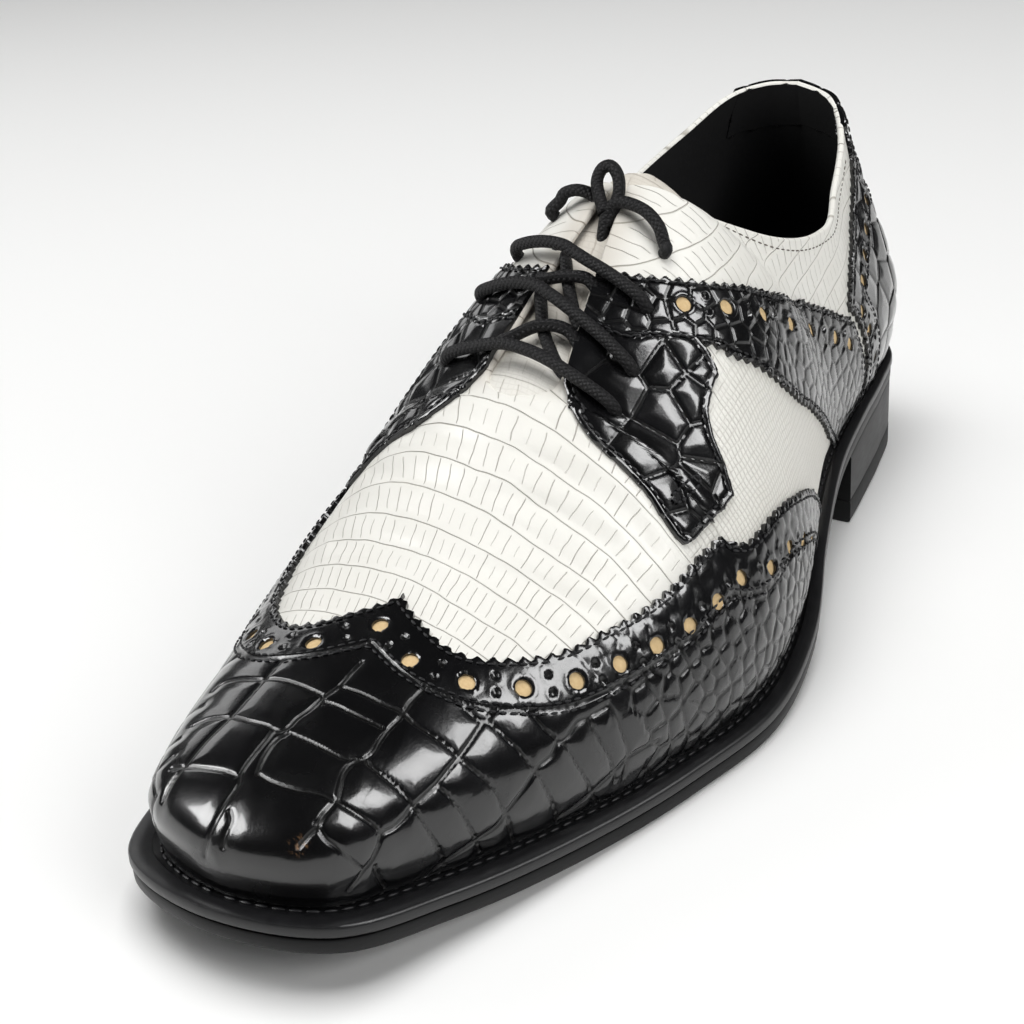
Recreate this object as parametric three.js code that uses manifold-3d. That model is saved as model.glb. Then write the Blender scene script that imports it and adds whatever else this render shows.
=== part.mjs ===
// A left wingtip derby shoe in two colours, standing on its sole. Millimetres, +Z up.
// The toe points to -Y, the heel to +Y, and +X is the wearer's left, the outer side.
import * as THREE from 'three';
import { mergeVertices } from 'three/addons/utils/BufferGeometryUtils.js';
import Module from 'manifold-3d';

const wasm = await Module();
wasm.setup();

// Driving sizes
const TOE_SPRING = 10.95;
const SPRING_START = -67.3;
const SPRING_RUN = 84;
const HEEL_HEIGHT = 22.22;
const SHANK_START = -37.3;
const SHANK_RUN = 135;
const HEEL_BREAST = 76.4;
const HEEL_LIFT = 6.5;
const OUTSOLE = 3.8;
const SOLE_STACK = 7.16;
const WELT_LEDGE = 9;
const INSOLE = 3;
const WALL = 1.8;
const LEATHER = 1;
const GAP = 0.3;
const RIDGE_RADIUS = 24;
const SLIT_START = -37;
const SLIT_ROUND = 8;
const SLIT_FRONT = 11;
const SLIT_BACK = 2.5;
const LACE = 3;
const CENTRE_X = -0.24;

// Sections of the shoe from the toe tip to the heel, a row per section. The first four columns
// are the sole's outline on each side. inset is from there in to the upper's lower edge, bulge and
// low are how far and how high the upper swells over the welt. topY and topX are the ridge or
// topline, topL and topM its height, openL and openM the half opening, slope its lean in degrees,
// and riseL, runL, riseM and runM are how full the wall is low down and near the top.
const COLUMNS = ['latX', 'latY', 'medX', 'medY', 'inset', 'bulge', 'low', 'topY', 'topX',
  'topL', 'topM', 'openL', 'openM', 'slope', 'riseL', 'runL', 'riseM', 'runM'];
const SECTIONS = [
  [-7.9, -155, -7.9, -155, 7.5, 1.5, 10, -115, -6.4, 0, 0, 0, 0, 0, 0.6, 0.62, 0.6, 0.62],
  [16.5, -148, -32.8, -147.1, 8.5, 1.5, 10, -113, -6.3, 0, 0, 0, 0, 0, 0.6, 0.62, 0.59, 0.61],
  [28.7, -124.2, -45.2, -127.5, 8.5, 1.5, 10, -106, -6, 0, 0, 0, 0, 0, 0.57, 0.62, 0.57, 0.62],
  [41, -92.1, -53, -97.8, 7.5, 1.8, 11, -88, -5.2, 0, 0, 0, 0, 0, 0.52, 0.6, 0.55, 0.61],
  [51.7, -60.6, -58.6, -66.4, 6.5, 2.2, 12, -63, -4.2, 0, 0, 0, 0, 0, 0.46, 0.57, 0.53, 0.6],
  [58.6, -30.7, -57.9, -36.7, 6.5, 2.5, 12, -38, -2.8, 0, 0, 0, 0, 0, 0.41, 0.52, 0.5, 0.58],
  [56.2, 0.6, -46.8, -8.5, 6, 2.5, 12, -9, -0.7, 0, 0, 0, 0, 0, 0.38, 0.48, 0.5, 0.58],
  [47.5, 31.5, -31.1, 23.3, 5.5, 2.5, 12, 14, 1.2, 0, 0, 0, 0, 0, 0.38, 0.46, 0.5, 0.58],
  [40.4, 61.8, -24.2, 57.1, 5, 2, 12, 49.6, 2, 90.5, 97, 22.9, 22, 68, 0.35, 0.4, 0.48, 0.5],
  [36.9, 91, -24.9, 89.3, 4.2, 2.2, 14, 81.4, 3, 83.5, 97, 25, 27.5, 75, 0.35, 0.35, 0.42, 0.42],
  [33.7, 115.4, -28.3, 116.3, 3.6, 2.5, 16, 107, 2.5, 87, 99, 19, 28, 77, 0.3, 0.35, 0.36, 0.38],
  [29.3, 136.2, -28.6, 137.4, 3.4, 2.8, 18, 126.5, 1.5, 96, 105, 14.8, 22, 78, 0.25, 0.35, 0.3, 0.35],
  [18.5, 150, -20, 150.9, 3.4, 3, 20, 135.2, 0, 104.5, 107.6, 9.8, 11.5, 79, 0.25, 0.35, 0.25, 0.35],
  [-1.6, 155, -1.6, 155, 3.4, 3.2, 22, 137.8, -1.6, 108, 108, 0, 0, 79, 0.25, 0.35, 0.25, 0.35],
];
// The ridge of the forepart and instep seen from the side.
const RIDGE = [
  { y: -150, z: 37 },
  { y: -118, z: 40 },
  { y: -90, z: 46.5 },
  { y: -64, z: 57.5 },
  { y: -38, z: 77 },
  { y: -12, z: 96 },
  { y: 14, z: 112.5 },
  { y: 40, z: 122 },
];
const LAST = SECTIONS.length - 1;
const ROUND = 2 * LAST;
const CORNER = 7;
const LOW_SHARE = 0.2;

const clamp = (value, low, high) => Math.min(high, Math.max(low, value));
const mix = (a, b, t) => a + (b - a) * t;

function spline(a, b, c, d, t) {
  const square = t * t;
  const cube = square * t;
  return 0.5 * (2 * b + (c - a) * t + (2 * a - 5 * b + 4 * c - d) * square
    + (3 * b - a - 3 * c + d) * cube);
}

function along(values, s) {
  const last = values.length - 1;
  const i = clamp(Math.floor(s), 0, last - 1);
  const at = (k) => values[clamp(k, 0, last)];
  return spline(at(i - 1), at(i), at(i + 1), at(i + 2), s - i);
}

const table = {};
COLUMNS.forEach((name, k) => {
  table[name] = SECTIONS.map((row) => row[k]);
});
const column = (name, s) => along(table[name], s);

// Height of the sole's underside: flat at the ball, up at the toe, up to the heel seat.
function soleHeight(y) {
  const toe = Math.max(0, (SPRING_START - y) / SPRING_RUN);
  const shank = clamp((y - SHANK_START) / SHANK_RUN, 0, 1);
  return TOE_SPRING * toe * toe + HEEL_HEIGHT * shank * shank * (3 - 2 * shank);
}

function ridgeHeight(y) {
  const last = RIDGE.length - 1;
  let i = 0;
  while (i < last - 1 && y > RIDGE[i + 1].y) {
    i += 1;
  }
  const tangent = (k) => {
    const from = RIDGE[Math.max(0, k - 1)];
    const to = RIDGE[Math.min(last, k + 1)];
    return (to.z - from.z) / (to.y - from.y);
  };
  const step = RIDGE[i + 1].y - RIDGE[i].y;
  const t = (y - RIDGE[i].y) / step;
  const square = t * t;
  const cube = square * t;
  return (2 * cube - 3 * square + 1) * RIDGE[i].z + (cube - 2 * square + t) * step * tangent(i)
    + (3 * square - 2 * cube) * RIDGE[i + 1].z + (cube - square) * step * tangent(i + 1);
}

// A ring position r runs from the toe tip along the outer side to the heel and back.
function outline(r) {
  const i = Math.floor(r);
  const t = r - i;
  const at = (k) => {
    const m = ((k % ROUND) + ROUND) % ROUND;
    return m <= LAST ? [table.latX[m], table.latY[m]] : [table.medX[ROUND - m], table.medY[ROUND - m]];
  };
  const [a, b, c, d] = [at(i - 1), at(i), at(i + 1), at(i + 2)];
  return new THREE.Vector2(spline(a[0], b[0], c[0], d[0], t) - CENTRE_X, spline(a[1], b[1], c[1], d[1], t));
}

function outward(r) {
  const along2 = outline(r + 0.05).sub(outline(r - 0.05)).normalize();
  return new THREE.Vector2(along2.y, -along2.x);
}

const inset = (r, distance) => outline(r).addScaledVector(outward(r), -distance);
const wrap = (r) => ((r % ROUND) + ROUND) % ROUND;
const ring = (side, s) => (side > 0 ? s : ROUND - s);

// One rib of the upper: lower edge, widest point, top point and the two handles between.
function rib(ringPosition) {
  const r = wrap(ringPosition);
  const outer = r <= LAST;
  const side = outer ? 1 : -1;
  const s = outer ? r : ROUND - r;
  const foot = inset(r, column('inset', s));
  const out = outward(r);
  const footZ = soleHeight(foot.y) + SOLE_STACK + GAP;
  const bulge = column('bulge', s);
  const low = column('low', s);
  const wide = new THREE.Vector3(foot.x + out.x * bulge, foot.y + out.y * bulge, footZ + low);
  const front = table.topY.slice(0, CORNER + 1);
  const frontX = table.topX.slice(0, CORNER + 1);
  const q = Math.min(s, CORNER);
  const y = along(front, q);
  const x = along(frontX, q) - CENTRE_X;
  const z = ridgeHeight(y);
  const opened = clamp((y - SLIT_START) / SLIT_ROUND, 0, 1);
  const straight = mix(SLIT_FRONT, SLIT_BACK, clamp((y - SLIT_START) / (table.topY[CORNER] - SLIT_START), 0, 1));
  const gap = straight * Math.sqrt(1 - (1 - opened) ** 2);
  const angle = gap / RIDGE_RADIUS;
  const slope = ridgeHeight(y + 0.5) - ridgeHeight(y - 0.5);
  let top = new THREE.Vector3(x + side * gap, y, z - RIDGE_RADIUS * (1 - Math.cos(angle)));
  let lean = angle;
  if (s > CORNER) {
    const from = (name, first) => along([first, ...table[name].slice(CORNER + 1)], s - CORNER);
    const cornerAngle = SLIT_BACK / RIDGE_RADIUS;
    const cornerZ = ridgeHeight(table.topY[CORNER]) - RIDGE_RADIUS * (1 - Math.cos(cornerAngle));
    const open = from(outer ? 'openL' : 'openM', SLIT_BACK);
    const height = from(outer ? 'topL' : 'topM', cornerZ);
    lean = THREE.MathUtils.degToRad(from('slope', THREE.MathUtils.radToDeg(cornerAngle)));
    const middle = from('topX', table.topX[CORNER]) - CENTRE_X;
    top = new THREE.Vector3(middle + side * open, from('topY', table.topY[CORNER]), height);
  }
  const inward = new THREE.Vector2(top.x - wide.x, top.y - wide.y);
  const reach = inward.length();
  inward.normalize();
  const flat = clamp(1 - lean / (Math.PI / 3), 0, 1);
  const heading = new THREE.Vector3(
    inward.x * Math.cos(lean),
    inward.y * Math.cos(lean),
    Math.sin(lean) + Math.cos(lean) * slope * inward.y * flat,
  );
  const climb = top.z - wide.z;
  const rise = column(outer ? 'riseL' : 'riseM', s) * climb;
  const run = column(outer ? 'runL' : 'runM', s) * (reach * Math.cos(lean) + climb * Math.sin(lean));
  const lowHandle = wide.clone().add(new THREE.Vector3(0, 0, rise));
  const highHandle = top.clone().addScaledVector(heading, -run);
  return { side, foot, out, footZ, bulge, low, wide, lowHandle, highHandle, top, gap, x, y, z, slope, s };
}

// Point of the upper's outer surface: w is 0 at the welt, 1 at the ridge, facing or topline,
// and from 1 to 2 it bridges the opening between the facings over the ridge.
function surface(ringPosition, w) {
  const b = rib(ringPosition);
  if (w < LOW_SHARE) {
    const t = w / LOW_SHARE;
    const swell = b.bulge * (1 - (1 - t) ** 2);
    return new THREE.Vector3(b.foot.x + b.out.x * swell, b.foot.y + b.out.y * swell, b.footZ + b.low * t);
  }
  if (w > 1) {
    const angle = (b.gap / RIDGE_RADIUS) * (2 - w);
    const across = b.side * RIDGE_RADIUS * Math.sin(angle);
    return new THREE.Vector3(b.x + across, b.y, b.z - RIDGE_RADIUS * (1 - Math.cos(angle)));
  }
  const q = (w - LOW_SHARE) / (1 - LOW_SHARE);
  const p = 1 - q;
  return new THREE.Vector3()
    .addScaledVector(b.wide, p * p * p)
    .addScaledVector(b.lowHandle, 3 * p * p * q)
    .addScaledVector(b.highHandle, 3 * p * q * q)
    .addScaledVector(b.top, q * q * q);
}

function normalAt(ringPosition, w) {
  const b = rib(ringPosition);
  const onRidge = b.s < CORNER && b.gap < 0.01;
  if (w > 1 || (onRidge && w > 0.999)) {
    const angle = (b.gap / RIDGE_RADIUS) * (2 - Math.max(1, w));
    const tilt = new THREE.Vector3(b.side * Math.sin(angle), -b.slope * Math.cos(angle), Math.cos(angle));
    return tilt.normalize();
  }
  const step = 0.02;
  const over = surface(ringPosition + step, w).sub(surface(ringPosition - step, w));
  const up = surface(ringPosition, Math.min(1, w + step)).sub(surface(ringPosition, Math.max(0, w - step)));
  const normal = over.cross(up).normalize();
  if (w < 0.001) {
    normal.z = 0;
    normal.normalize();
  }
  return normal;
}

const place = (ringPosition, w, distance) => surface(ringPosition, w)
  .addScaledVector(normalAt(ringPosition, w), distance);

function geometryOf(triangles) {
  const positions = [];
  triangles.forEach(([a, b, c]) => {
    if (a.distanceTo(b) < 1e-3 || b.distanceTo(c) < 1e-3 || c.distanceTo(a) < 1e-3) {
      return;
    }
    positions.push(a.x, a.y, a.z, b.x, b.y, b.z, c.x, c.y, c.z);
  });
  const geometry = new THREE.BufferGeometry();
  geometry.setAttribute('position', new THREE.Float32BufferAttribute(positions, 3));
  return mergeVertices(geometry, 1e-3);
}

// A closed shell from grids of surface positions, between two distances from the surface.
// Each grid is an array of columns, and each column an array of [ring position, w].
function shell(grids, outerDistance, innerDistance) {
  const index = new Map();
  const nodes = [];
  const find = ([r, w]) => {
    const p = surface(r, w);
    const key = [p.x, p.y, p.z].map((v) => Math.round(v * 200)).join(' ');
    if (!index.has(key)) {
      index.set(key, nodes.length);
      nodes.push({ outer: place(r, w, outerDistance), inner: place(r, w, innerDistance) });
    }
    return index.get(key);
  };
  const faces = [];
  const addFace = (a, b, c) => {
    if (a !== b && b !== c && c !== a) {
      faces.push([a, b, c]);
    }
  };
  grids.forEach((grid) => {
    const ids = grid.map((line) => line.map(find));
    for (let i = 0; i < ids.length - 1; i += 1) {
      for (let j = 0; j < ids[i].length - 1; j += 1) {
        addFace(ids[i][j], ids[i + 1][j], ids[i + 1][j + 1]);
        addFace(ids[i][j], ids[i + 1][j + 1], ids[i][j + 1]);
      }
    }
  });
  const edges = new Map();
  faces.forEach((face) => {
    face.forEach((a, k) => {
      const b = face[(k + 1) % 3];
      const back = `${b} ${a}`;
      if (edges.has(back)) {
        edges.delete(back);
      } else {
        edges.set(`${a} ${b}`, [a, b]);
      }
    });
  });
  const triangles = [];
  faces.forEach(([a, b, c]) => {
    triangles.push([nodes[a].outer, nodes[b].outer, nodes[c].outer]);
    triangles.push([nodes[a].inner, nodes[c].inner, nodes[b].inner]);
  });
  edges.forEach(([a, b]) => {
    triangles.push([nodes[b].outer, nodes[a].outer, nodes[a].inner]);
    triangles.push([nodes[b].outer, nodes[a].inner, nodes[b].inner]);
  });
  return geometryOf(triangles);
}

const span = (from, to, count) => Array.from({ length: count + 1 }, (_, i) => mix(from, to, i / count));

// Grid on one side between two curves of [s, w], each a short list that is splined.
function patch(side, first, second, columns, rows) {
  const at = (points, t, k) => along(points.map((p) => p[k]), t * (points.length - 1));
  const lines = span(0, 1, columns).map((t) => span(0, 1, rows).map((u) => [
    ring(side, mix(at(first, t, 0), at(second, t, 0), u)),
    mix(at(first, t, 1), at(second, t, 1), u),
  ]));
  return side > 0 ? lines : lines.reverse();
}

function solidOf(geometry) {
  return new wasm.Manifold(new wasm.Mesh({
    numProp: 3,
    vertProperties: new Float32Array(geometry.attributes.position.array),
    triVerts: new Uint32Array(geometry.index.array),
  }));
}
function geometryFrom(solid) {
  const mesh = solid.getMesh();
  const geometry = new THREE.BufferGeometry();
  const positions = new Float32Array(mesh.numVert * 3);
  for (let i = 0; i < mesh.numVert; i += 1) {
    for (let k = 0; k < 3; k += 1) {
      positions[3 * i + k] = mesh.vertProperties[i * mesh.numProp + k];
    }
  }
  geometry.setAttribute('position', new THREE.BufferAttribute(positions, 3));
  geometry.setIndex(new THREE.BufferAttribute(new Uint32Array(mesh.triVerts), 1));
  return geometry;
}
// Upper: one hollow wall, open underneath, at the collar and between the facings
const ribStations = [...span(0, 3, 9), ...span(3.4, 5, 4), 5.15, 5.3, 5.5, 5.75, 6, 6.33, 6.67, ...span(7, LAST, 14)];
const ribRing = [...ribStations, ...ribStations.slice(0, -1).reverse().map((s) => ROUND - s)];
const heights = [0, 0.1, 0.2, 0.34, 0.48, 0.61, 0.74, 0.87, 1];
const upperGrid = [ribRing.map((r) => heights.map((w) => [r, w]))];
const upper = shell(upperGrid, 0, -WALL);
const coat = solidOf(shell(upperGrid, GAP + LEATHER, GAP));

// A piece that lies on the upper: one leather's thickness over it, within the given grids.
function laid(grids) {
  const pieces = coat.intersect(solidOf(shell(grids, 4, -2.5))).decompose();
  return geometryFrom(pieces.sort((a, b) => b.volume() - a.volume())[0]);
}

// Wingtip: the whole toe, a wing along each side and the point on the ridge
const WING_START = 2.88;
const WING_TOP = 0.8;
const POINT_BASE = 0.87;
const POINT_TIP = 3.25;
const WING = [
  { s: 2.88, w: 0.8 },
  { s: 3, w: 0.71 },
  { s: 3.35, w: 0.61 },
  { s: 4.2, w: 0.52 },
  { s: 5.2, w: 0.5 },
  { s: 6, w: 0.4 },
  { s: 6.8, w: 0.25 },
  { s: 7.25, w: 0.03 },
];
function wingTop(s) {
  let i = 0;
  while (i < WING.length - 2 && s > WING[i + 1].s) {
    i += 1;
  }
  return mix(WING[i].w, WING[i + 1].w, clamp((s - WING[i].s) / (WING[i + 1].s - WING[i].s), 0, 1));
}
const wingRows = [0.015, 0.11, 0.2, 0.4, 0.6, WING_TOP];
const pointRows = [POINT_BASE, 1];
const wingtipGrids = [];
[1, -1].forEach((side) => {
  const order = (lines) => (side > 0 ? lines : lines.reverse());
  wingtipGrids.push(order(span(0, WING_START, 9).map((s) => [...wingRows, ...pointRows]
    .map((w) => [ring(side, s), w]))));
  wingtipGrids.push(order(WING.slice(0, -1).flatMap((row, i) => span(row.s, WING[i + 1].s, i < 2 ? 1 : 2)
    .slice(i ? 1 : 0)).map((s) => wingRows
    .map((w) => [ring(side, s), mix(0.015, Math.max(wingTop(s), 0.02), (w - 0.015) / (WING_TOP - 0.015))]))));
  wingtipGrids.push(order(span(WING_START, POINT_TIP, 2).map((s) => pointRows
    .map((w) => {
      const left = 1 - (s - WING_START) / (POINT_TIP - WING_START);
      return [ring(side, s), mix(1, w, left)];
    }))));
});
const wingtip = laid(wingtipGrids);

// Lace stays: the square black piece under the lace ends, its tail pointing to the sole
const STAY_FRONT = [[5.2, 0.975], [5.08, 0.92], [5.03, 0.84], [4.92, 0.75], [4.8, 0.65], [4.71, 0.56]];
const STAY_REAR = [[5.58, 0.985], [5.6, 0.93], [5.7, 0.84], [5.68, 0.74], [5.55, 0.66], [5.4, 0.59]];
const stay = (side) => laid([patch(side, STAY_FRONT, STAY_REAR, 8, 3)]);

// Saddle strips: from the facing back and down to the sole, ahead of the counter
const STRIP_UPPER = [[6.08, 0.985], [6.18, 0.92], [6.34, 0.82], [6.7, 0.7], [7.35, 0.66], [8.15, 0.65],
  [8.86, 0.53], [8.98, 0.3], [9.2, 0.02]];
const STRIP_LOWER = [[5.64, 0.985], [5.66, 0.93], [5.76, 0.84], [5.94, 0.76], [6.2, 0.64], [6.7, 0.48],
  [7.3, 0.35], [7.8, 0.18], [8.25, 0.02]];
const strip = (side) => laid([patch(side, STRIP_LOWER, STRIP_UPPER, 14, 3)]);

// Heel counter, round the back from side to side, and the tab over the collar's back
const COUNTER_EDGE = [[9.3, 0.015], [9.1, 0.3], [9.02, 0.53], [9.45, 0.66], [10.2, 0.74], [10.9, 0.83]];
const BACK_EDGE = COUNTER_EDGE.map(([, w]) => [LAST, w]);
const counter = laid([
  patch(1, COUNTER_EDGE, BACK_EDGE, 7, 10),
  patch(-1, COUNTER_EDGE, BACK_EDGE, 7, 10),
].map((grid) => grid.map((line) => line.slice().reverse())));
const TAB_EDGE = [[11, 0.85], [11.1, 0.92], [11.3, 0.99]];
const TAB_BACK = TAB_EDGE.map(([, w]) => [LAST, w]);
const tab = laid([
  patch(1, TAB_EDGE, TAB_BACK, 3, 5),
  patch(-1, TAB_EDGE, TAB_BACK, 3, 5),
].map((grid) => grid.map((line) => line.slice().reverse())));

// Solid between outlines at two or more levels, with flat caps above and below.
// A level is { inset: function of s, z: function of y }.
function plate(outerStations, innerStations, levels, hollow) {
  const rings = levels.map((level) => {
    const at = (side, s) => {
      const p = inset(ring(side, s), level.inset(s));
      return new THREE.Vector3(p.x, p.y, level.z(p.y));
    };
    return { outer: outerStations.map((s) => at(1, s)), inner: innerStations.map((s) => at(-1, s)) };
  });
  const triangles = [];
  const quad = (a, b, c, d) => triangles.push([a, b, c], [a, c, d]);
  const loops = rings.map(({ outer, inner }) => [...outer, ...inner.slice().reverse()]);
  const levelCount = hollow ? loops.length : loops.length - 1;
  for (let k = 0; k < levelCount; k += 1) {
    const low = loops[k];
    const high = loops[(k + 1) % loops.length];
    low.forEach((p, i) => {
      const next = (i + 1) % low.length;
      quad(p, low[next], high[next], high[i]);
    });
  }
  if (!hollow) {
    [[rings[0], true], [rings[rings.length - 1], false]].forEach(([cap, under]) => {
      for (let i = 0; i < cap.outer.length - 1; i += 1) {
        const [a, b, c, d] = [cap.outer[i], cap.outer[i + 1], cap.inner[i + 1], cap.inner[i]];
        if (under) {
          quad(a, d, c, b);
        } else {
          quad(a, b, c, d);
        }
      }
    });
  }
  return geometryOf(triangles);
}

// Sole: outsole, stitched welt all round, insole with its filling, heel stack and top lift
const soleStations = [...span(0, 2, 7), ...span(2.4, LAST, 26)];
const even = (distance) => () => distance;
const above = (height) => (y) => soleHeight(y) + height;
const outsole = plate(soleStations, soleStations, [
  { inset: even(1.5), z: above(0) },
  { inset: even(0.5), z: above(0.8) },
  { inset: even(0.5), z: above(OUTSOLE - 0.5) },
  { inset: even(0.9), z: above(OUTSOLE) },
], false);
const ledge = (extra) => (s) => column('inset', s) + WELT_LEDGE + extra;
const welt = plate(soleStations, soleStations, [
  { inset: even(0), z: above(OUTSOLE + GAP) },
  { inset: even(0), z: above(SOLE_STACK - 1) },
  { inset: even(1), z: above(SOLE_STACK) },
  { inset: ledge(0), z: above(SOLE_STACK) },
  { inset: ledge(0), z: above(OUTSOLE + GAP) },
], true);
const board = (s) => column('inset', s) + WALL + GAP;
const insole = plate(soleStations, soleStations, [
  { inset: ledge(GAP), z: above(OUTSOLE + GAP) },
  { inset: ledge(GAP), z: above(SOLE_STACK + GAP) },
  { inset: board, z: above(SOLE_STACK + GAP) },
  { inset: board, z: above(SOLE_STACK + GAP + INSOLE) },
], false);

function breastStation(side) {
  let low = 6;
  let high = 12;
  for (let i = 0; i < 40; i += 1) {
    const middle = (low + high) / 2;
    if (outline(ring(side, middle)).y < HEEL_BREAST) {
      low = middle;
    } else {
      high = middle;
    }
  }
  return low;
}
const heelOuter = span(breastStation(1), LAST, 20);
const heelInner = span(breastStation(-1), LAST, 20);
const heelStack = plate(heelOuter, heelInner, [
  { inset: even(0.8), z: even(HEEL_LIFT + GAP) },
  { inset: even(0.8), z: above(-GAP) },
], false);
const heelLift = plate(heelOuter, heelInner, [
  { inset: even(1.2), z: even(0) },
  { inset: even(0.6), z: even(0.8) },
  { inset: even(0.6), z: even(HEEL_LIFT) },
], false);

// Tongue: under the facings, from inside the vamp to a little above the top corner
const TONGUE = 2;
const TONGUE_RISE = 5;
const TONGUE_DEPTH = WALL + GAP + 0.9;
const tongueEdge = [0.79, 0.86, 1, 1.5, 2];
const tongueLine = [...tongueEdge.map((w) => [1, w]), ...tongueEdge.slice(0, -1).reverse().map((w) => [-1, w])];
function tongueSection(s, lift, distance) {
  const shift = new THREE.Vector3(0, lift, ridgeHeight(table.topY[CORNER] + lift)
    - ridgeHeight(table.topY[CORNER]) - lift);
  const middle = rib(s).x;
  return tongueLine.map(([side, w]) => {
    const p = place(ring(side, s), w, distance);
    const narrow = 1 - lift / 10;
    p.x = middle + (p.x - middle) * narrow;
    return lift > 0 ? p.add(shift) : p;
  });
}
const tongueStations = [
  ...[4.8, 5, 5.15, 5.3, 5.5, 5.75, 6, 6.33, 6.67, 6.98].map((s) => [s, 0]),
  ...span(TONGUE_RISE / 2, TONGUE_RISE, 1).map((lift) => [6.98, lift]),
];
function tongueSolid() {
  const upperFace = tongueStations.map(([s, lift]) => tongueSection(s, lift, -TONGUE_DEPTH));
  const lowerFace = tongueStations.map(([s, lift]) => tongueSection(s, lift, -TONGUE_DEPTH - TONGUE));
  const triangles = [];
  const quad = (a, b, c, d) => triangles.push([a, b, c], [a, c, d]);
  const last = tongueLine.length - 1;
  for (let i = 0; i < tongueStations.length - 1; i += 1) {
    for (let j = 0; j < last; j += 1) {
      quad(upperFace[i][j], upperFace[i + 1][j], upperFace[i + 1][j + 1], upperFace[i][j + 1]);
      quad(lowerFace[i][j], lowerFace[i][j + 1], lowerFace[i + 1][j + 1], lowerFace[i + 1][j]);
    }
    quad(upperFace[i][0], lowerFace[i][0], lowerFace[i + 1][0], upperFace[i + 1][0]);
    quad(upperFace[i][last], upperFace[i + 1][last], lowerFace[i + 1][last], lowerFace[i][last]);
  }
  const end = tongueStations.length - 1;
  for (let j = 0; j < last; j += 1) {
    quad(upperFace[0][j], upperFace[0][j + 1], lowerFace[0][j + 1], lowerFace[0][j]);
    quad(upperFace[end][j], lowerFace[end][j], lowerFace[end][j + 1], upperFace[end][j + 1]);
  }
  return geometryOf(triangles);
}
const tongue = tongueSolid();

// Laces: bars over the facings and crossings between them, then the two ends and a top loop
const HOLES = [
  { outer: [5.21, 0.89], inner: [5.45, 0.86] },
  { outer: [5.5, 0.89], inner: [5.86, 0.83] },
  { outer: [5.92, 0.89], inner: [6.3, 0.84] },
  { outer: [6.38, 0.88], inner: [6.68, 0.86] },
];
const OVER = GAP + LEATHER + GAP + LACE / 2 + 0.1;
function cord(points, steps, sides) {
  const curve = new THREE.CatmullRomCurve3(points, false, 'centripetal');
  const section = new THREE.Shape(span(0, 2 * Math.PI * (1 - 1 / sides), sides - 1)
    .map((a) => new THREE.Vector2((LACE / 2) * Math.cos(a), (LACE / 2) * Math.sin(a))));
  const tube = new THREE.ExtrudeGeometry(section, { steps, extrudePath: curve, bevelEnabled: false });
  tube.deleteAttribute('normal');
  tube.deleteAttribute('uv');
  return mergeVertices(tube, 1e-4);
}
const holeAt = (k, side, distance) => {
  const [s, w] = HOLES[k][side > 0 ? 'outer' : 'inner'];
  return place(ring(side, s), w, distance);
};
function barPoints(k) {
  const a = HOLES[k].outer;
  const b = HOLES[k].inner;
  const step = (t) => mix(a[0], b[0], t);
  return [
    holeAt(k, 1, OVER),
    place(ring(1, step(0.2)), 0.96, OVER),
    place(ring(1, step(0.36)), 1.3, OVER),
    place(ring(1, step(0.5)), 2, OVER - 0.2),
    place(ring(-1, step(0.64)), 1.3, OVER),
    place(ring(-1, step(0.8)), 0.96, OVER),
    holeAt(k, -1, OVER),
  ];
}
function crossingPoints(k, side) {
  const low = (t) => mix(HOLES[k].outer[0], HOLES[k].inner[0], t);
  const high = (t) => mix(HOLES[k + 1].outer[0], HOLES[k + 1].inner[0], t);
  const startAt = side > 0 ? 0.3 : 0.7;
  const endAt = side > 0 ? 0.7 : 0.3;
  return [
    place(ring(side, low(startAt)), 1.15, OVER),
    place(ring(1, mix(low(0.5), high(0.5), 0.5)), 2, OVER - 1.6),
    place(ring(-side, high(endAt)), 1.15, OVER),
  ];
}
const bars = [0, 1, 2].map((k) => solidOf(cord(barPoints(k), 8, 8)));
const crossings = [0, 1].flatMap((k) => [1, -1].map((side) => solidOf(cord(crossingPoints(k, side), 3, 8))));
const laces = geometryFrom([...bars, ...crossings].reduce((sum, solid) => sum.add(solid)));

const lateralEnd = cord([
  holeAt(3, 1, OVER),
  place(ring(1, 6.52), 0.93, OVER + 5),
  place(ring(1, 6.66), 1, OVER + 7),
  place(ring(1, 6.72), 1.6, OVER + 4.5),
  place(ring(1, 6.62), 2, OVER + 0.4),
], 10, 8);
const medialEnd = cord([
  holeAt(3, -1, OVER),
  place(ring(-1, 6.78), 0.93, OVER + 5),
  place(ring(-1, 6.7), 1.2, OVER + 6),
  place(ring(-1, 6.5), 1.9, OVER + 2.2),
  place(ring(1, 6.38), 2, OVER + 0.2),
], 10, 8);

// Colours of the pieces
const material = (color, roughness, metalness = 0) => new THREE.MeshStandardMaterial({ color, roughness, metalness });
const blackLeather = () => material(0x0d0d0e, 0.25);
const whiteLeather = () => material(0xe9e8e3, 0.42);
const edgeBlack = () => material(0x17171a, 0.45);

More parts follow.
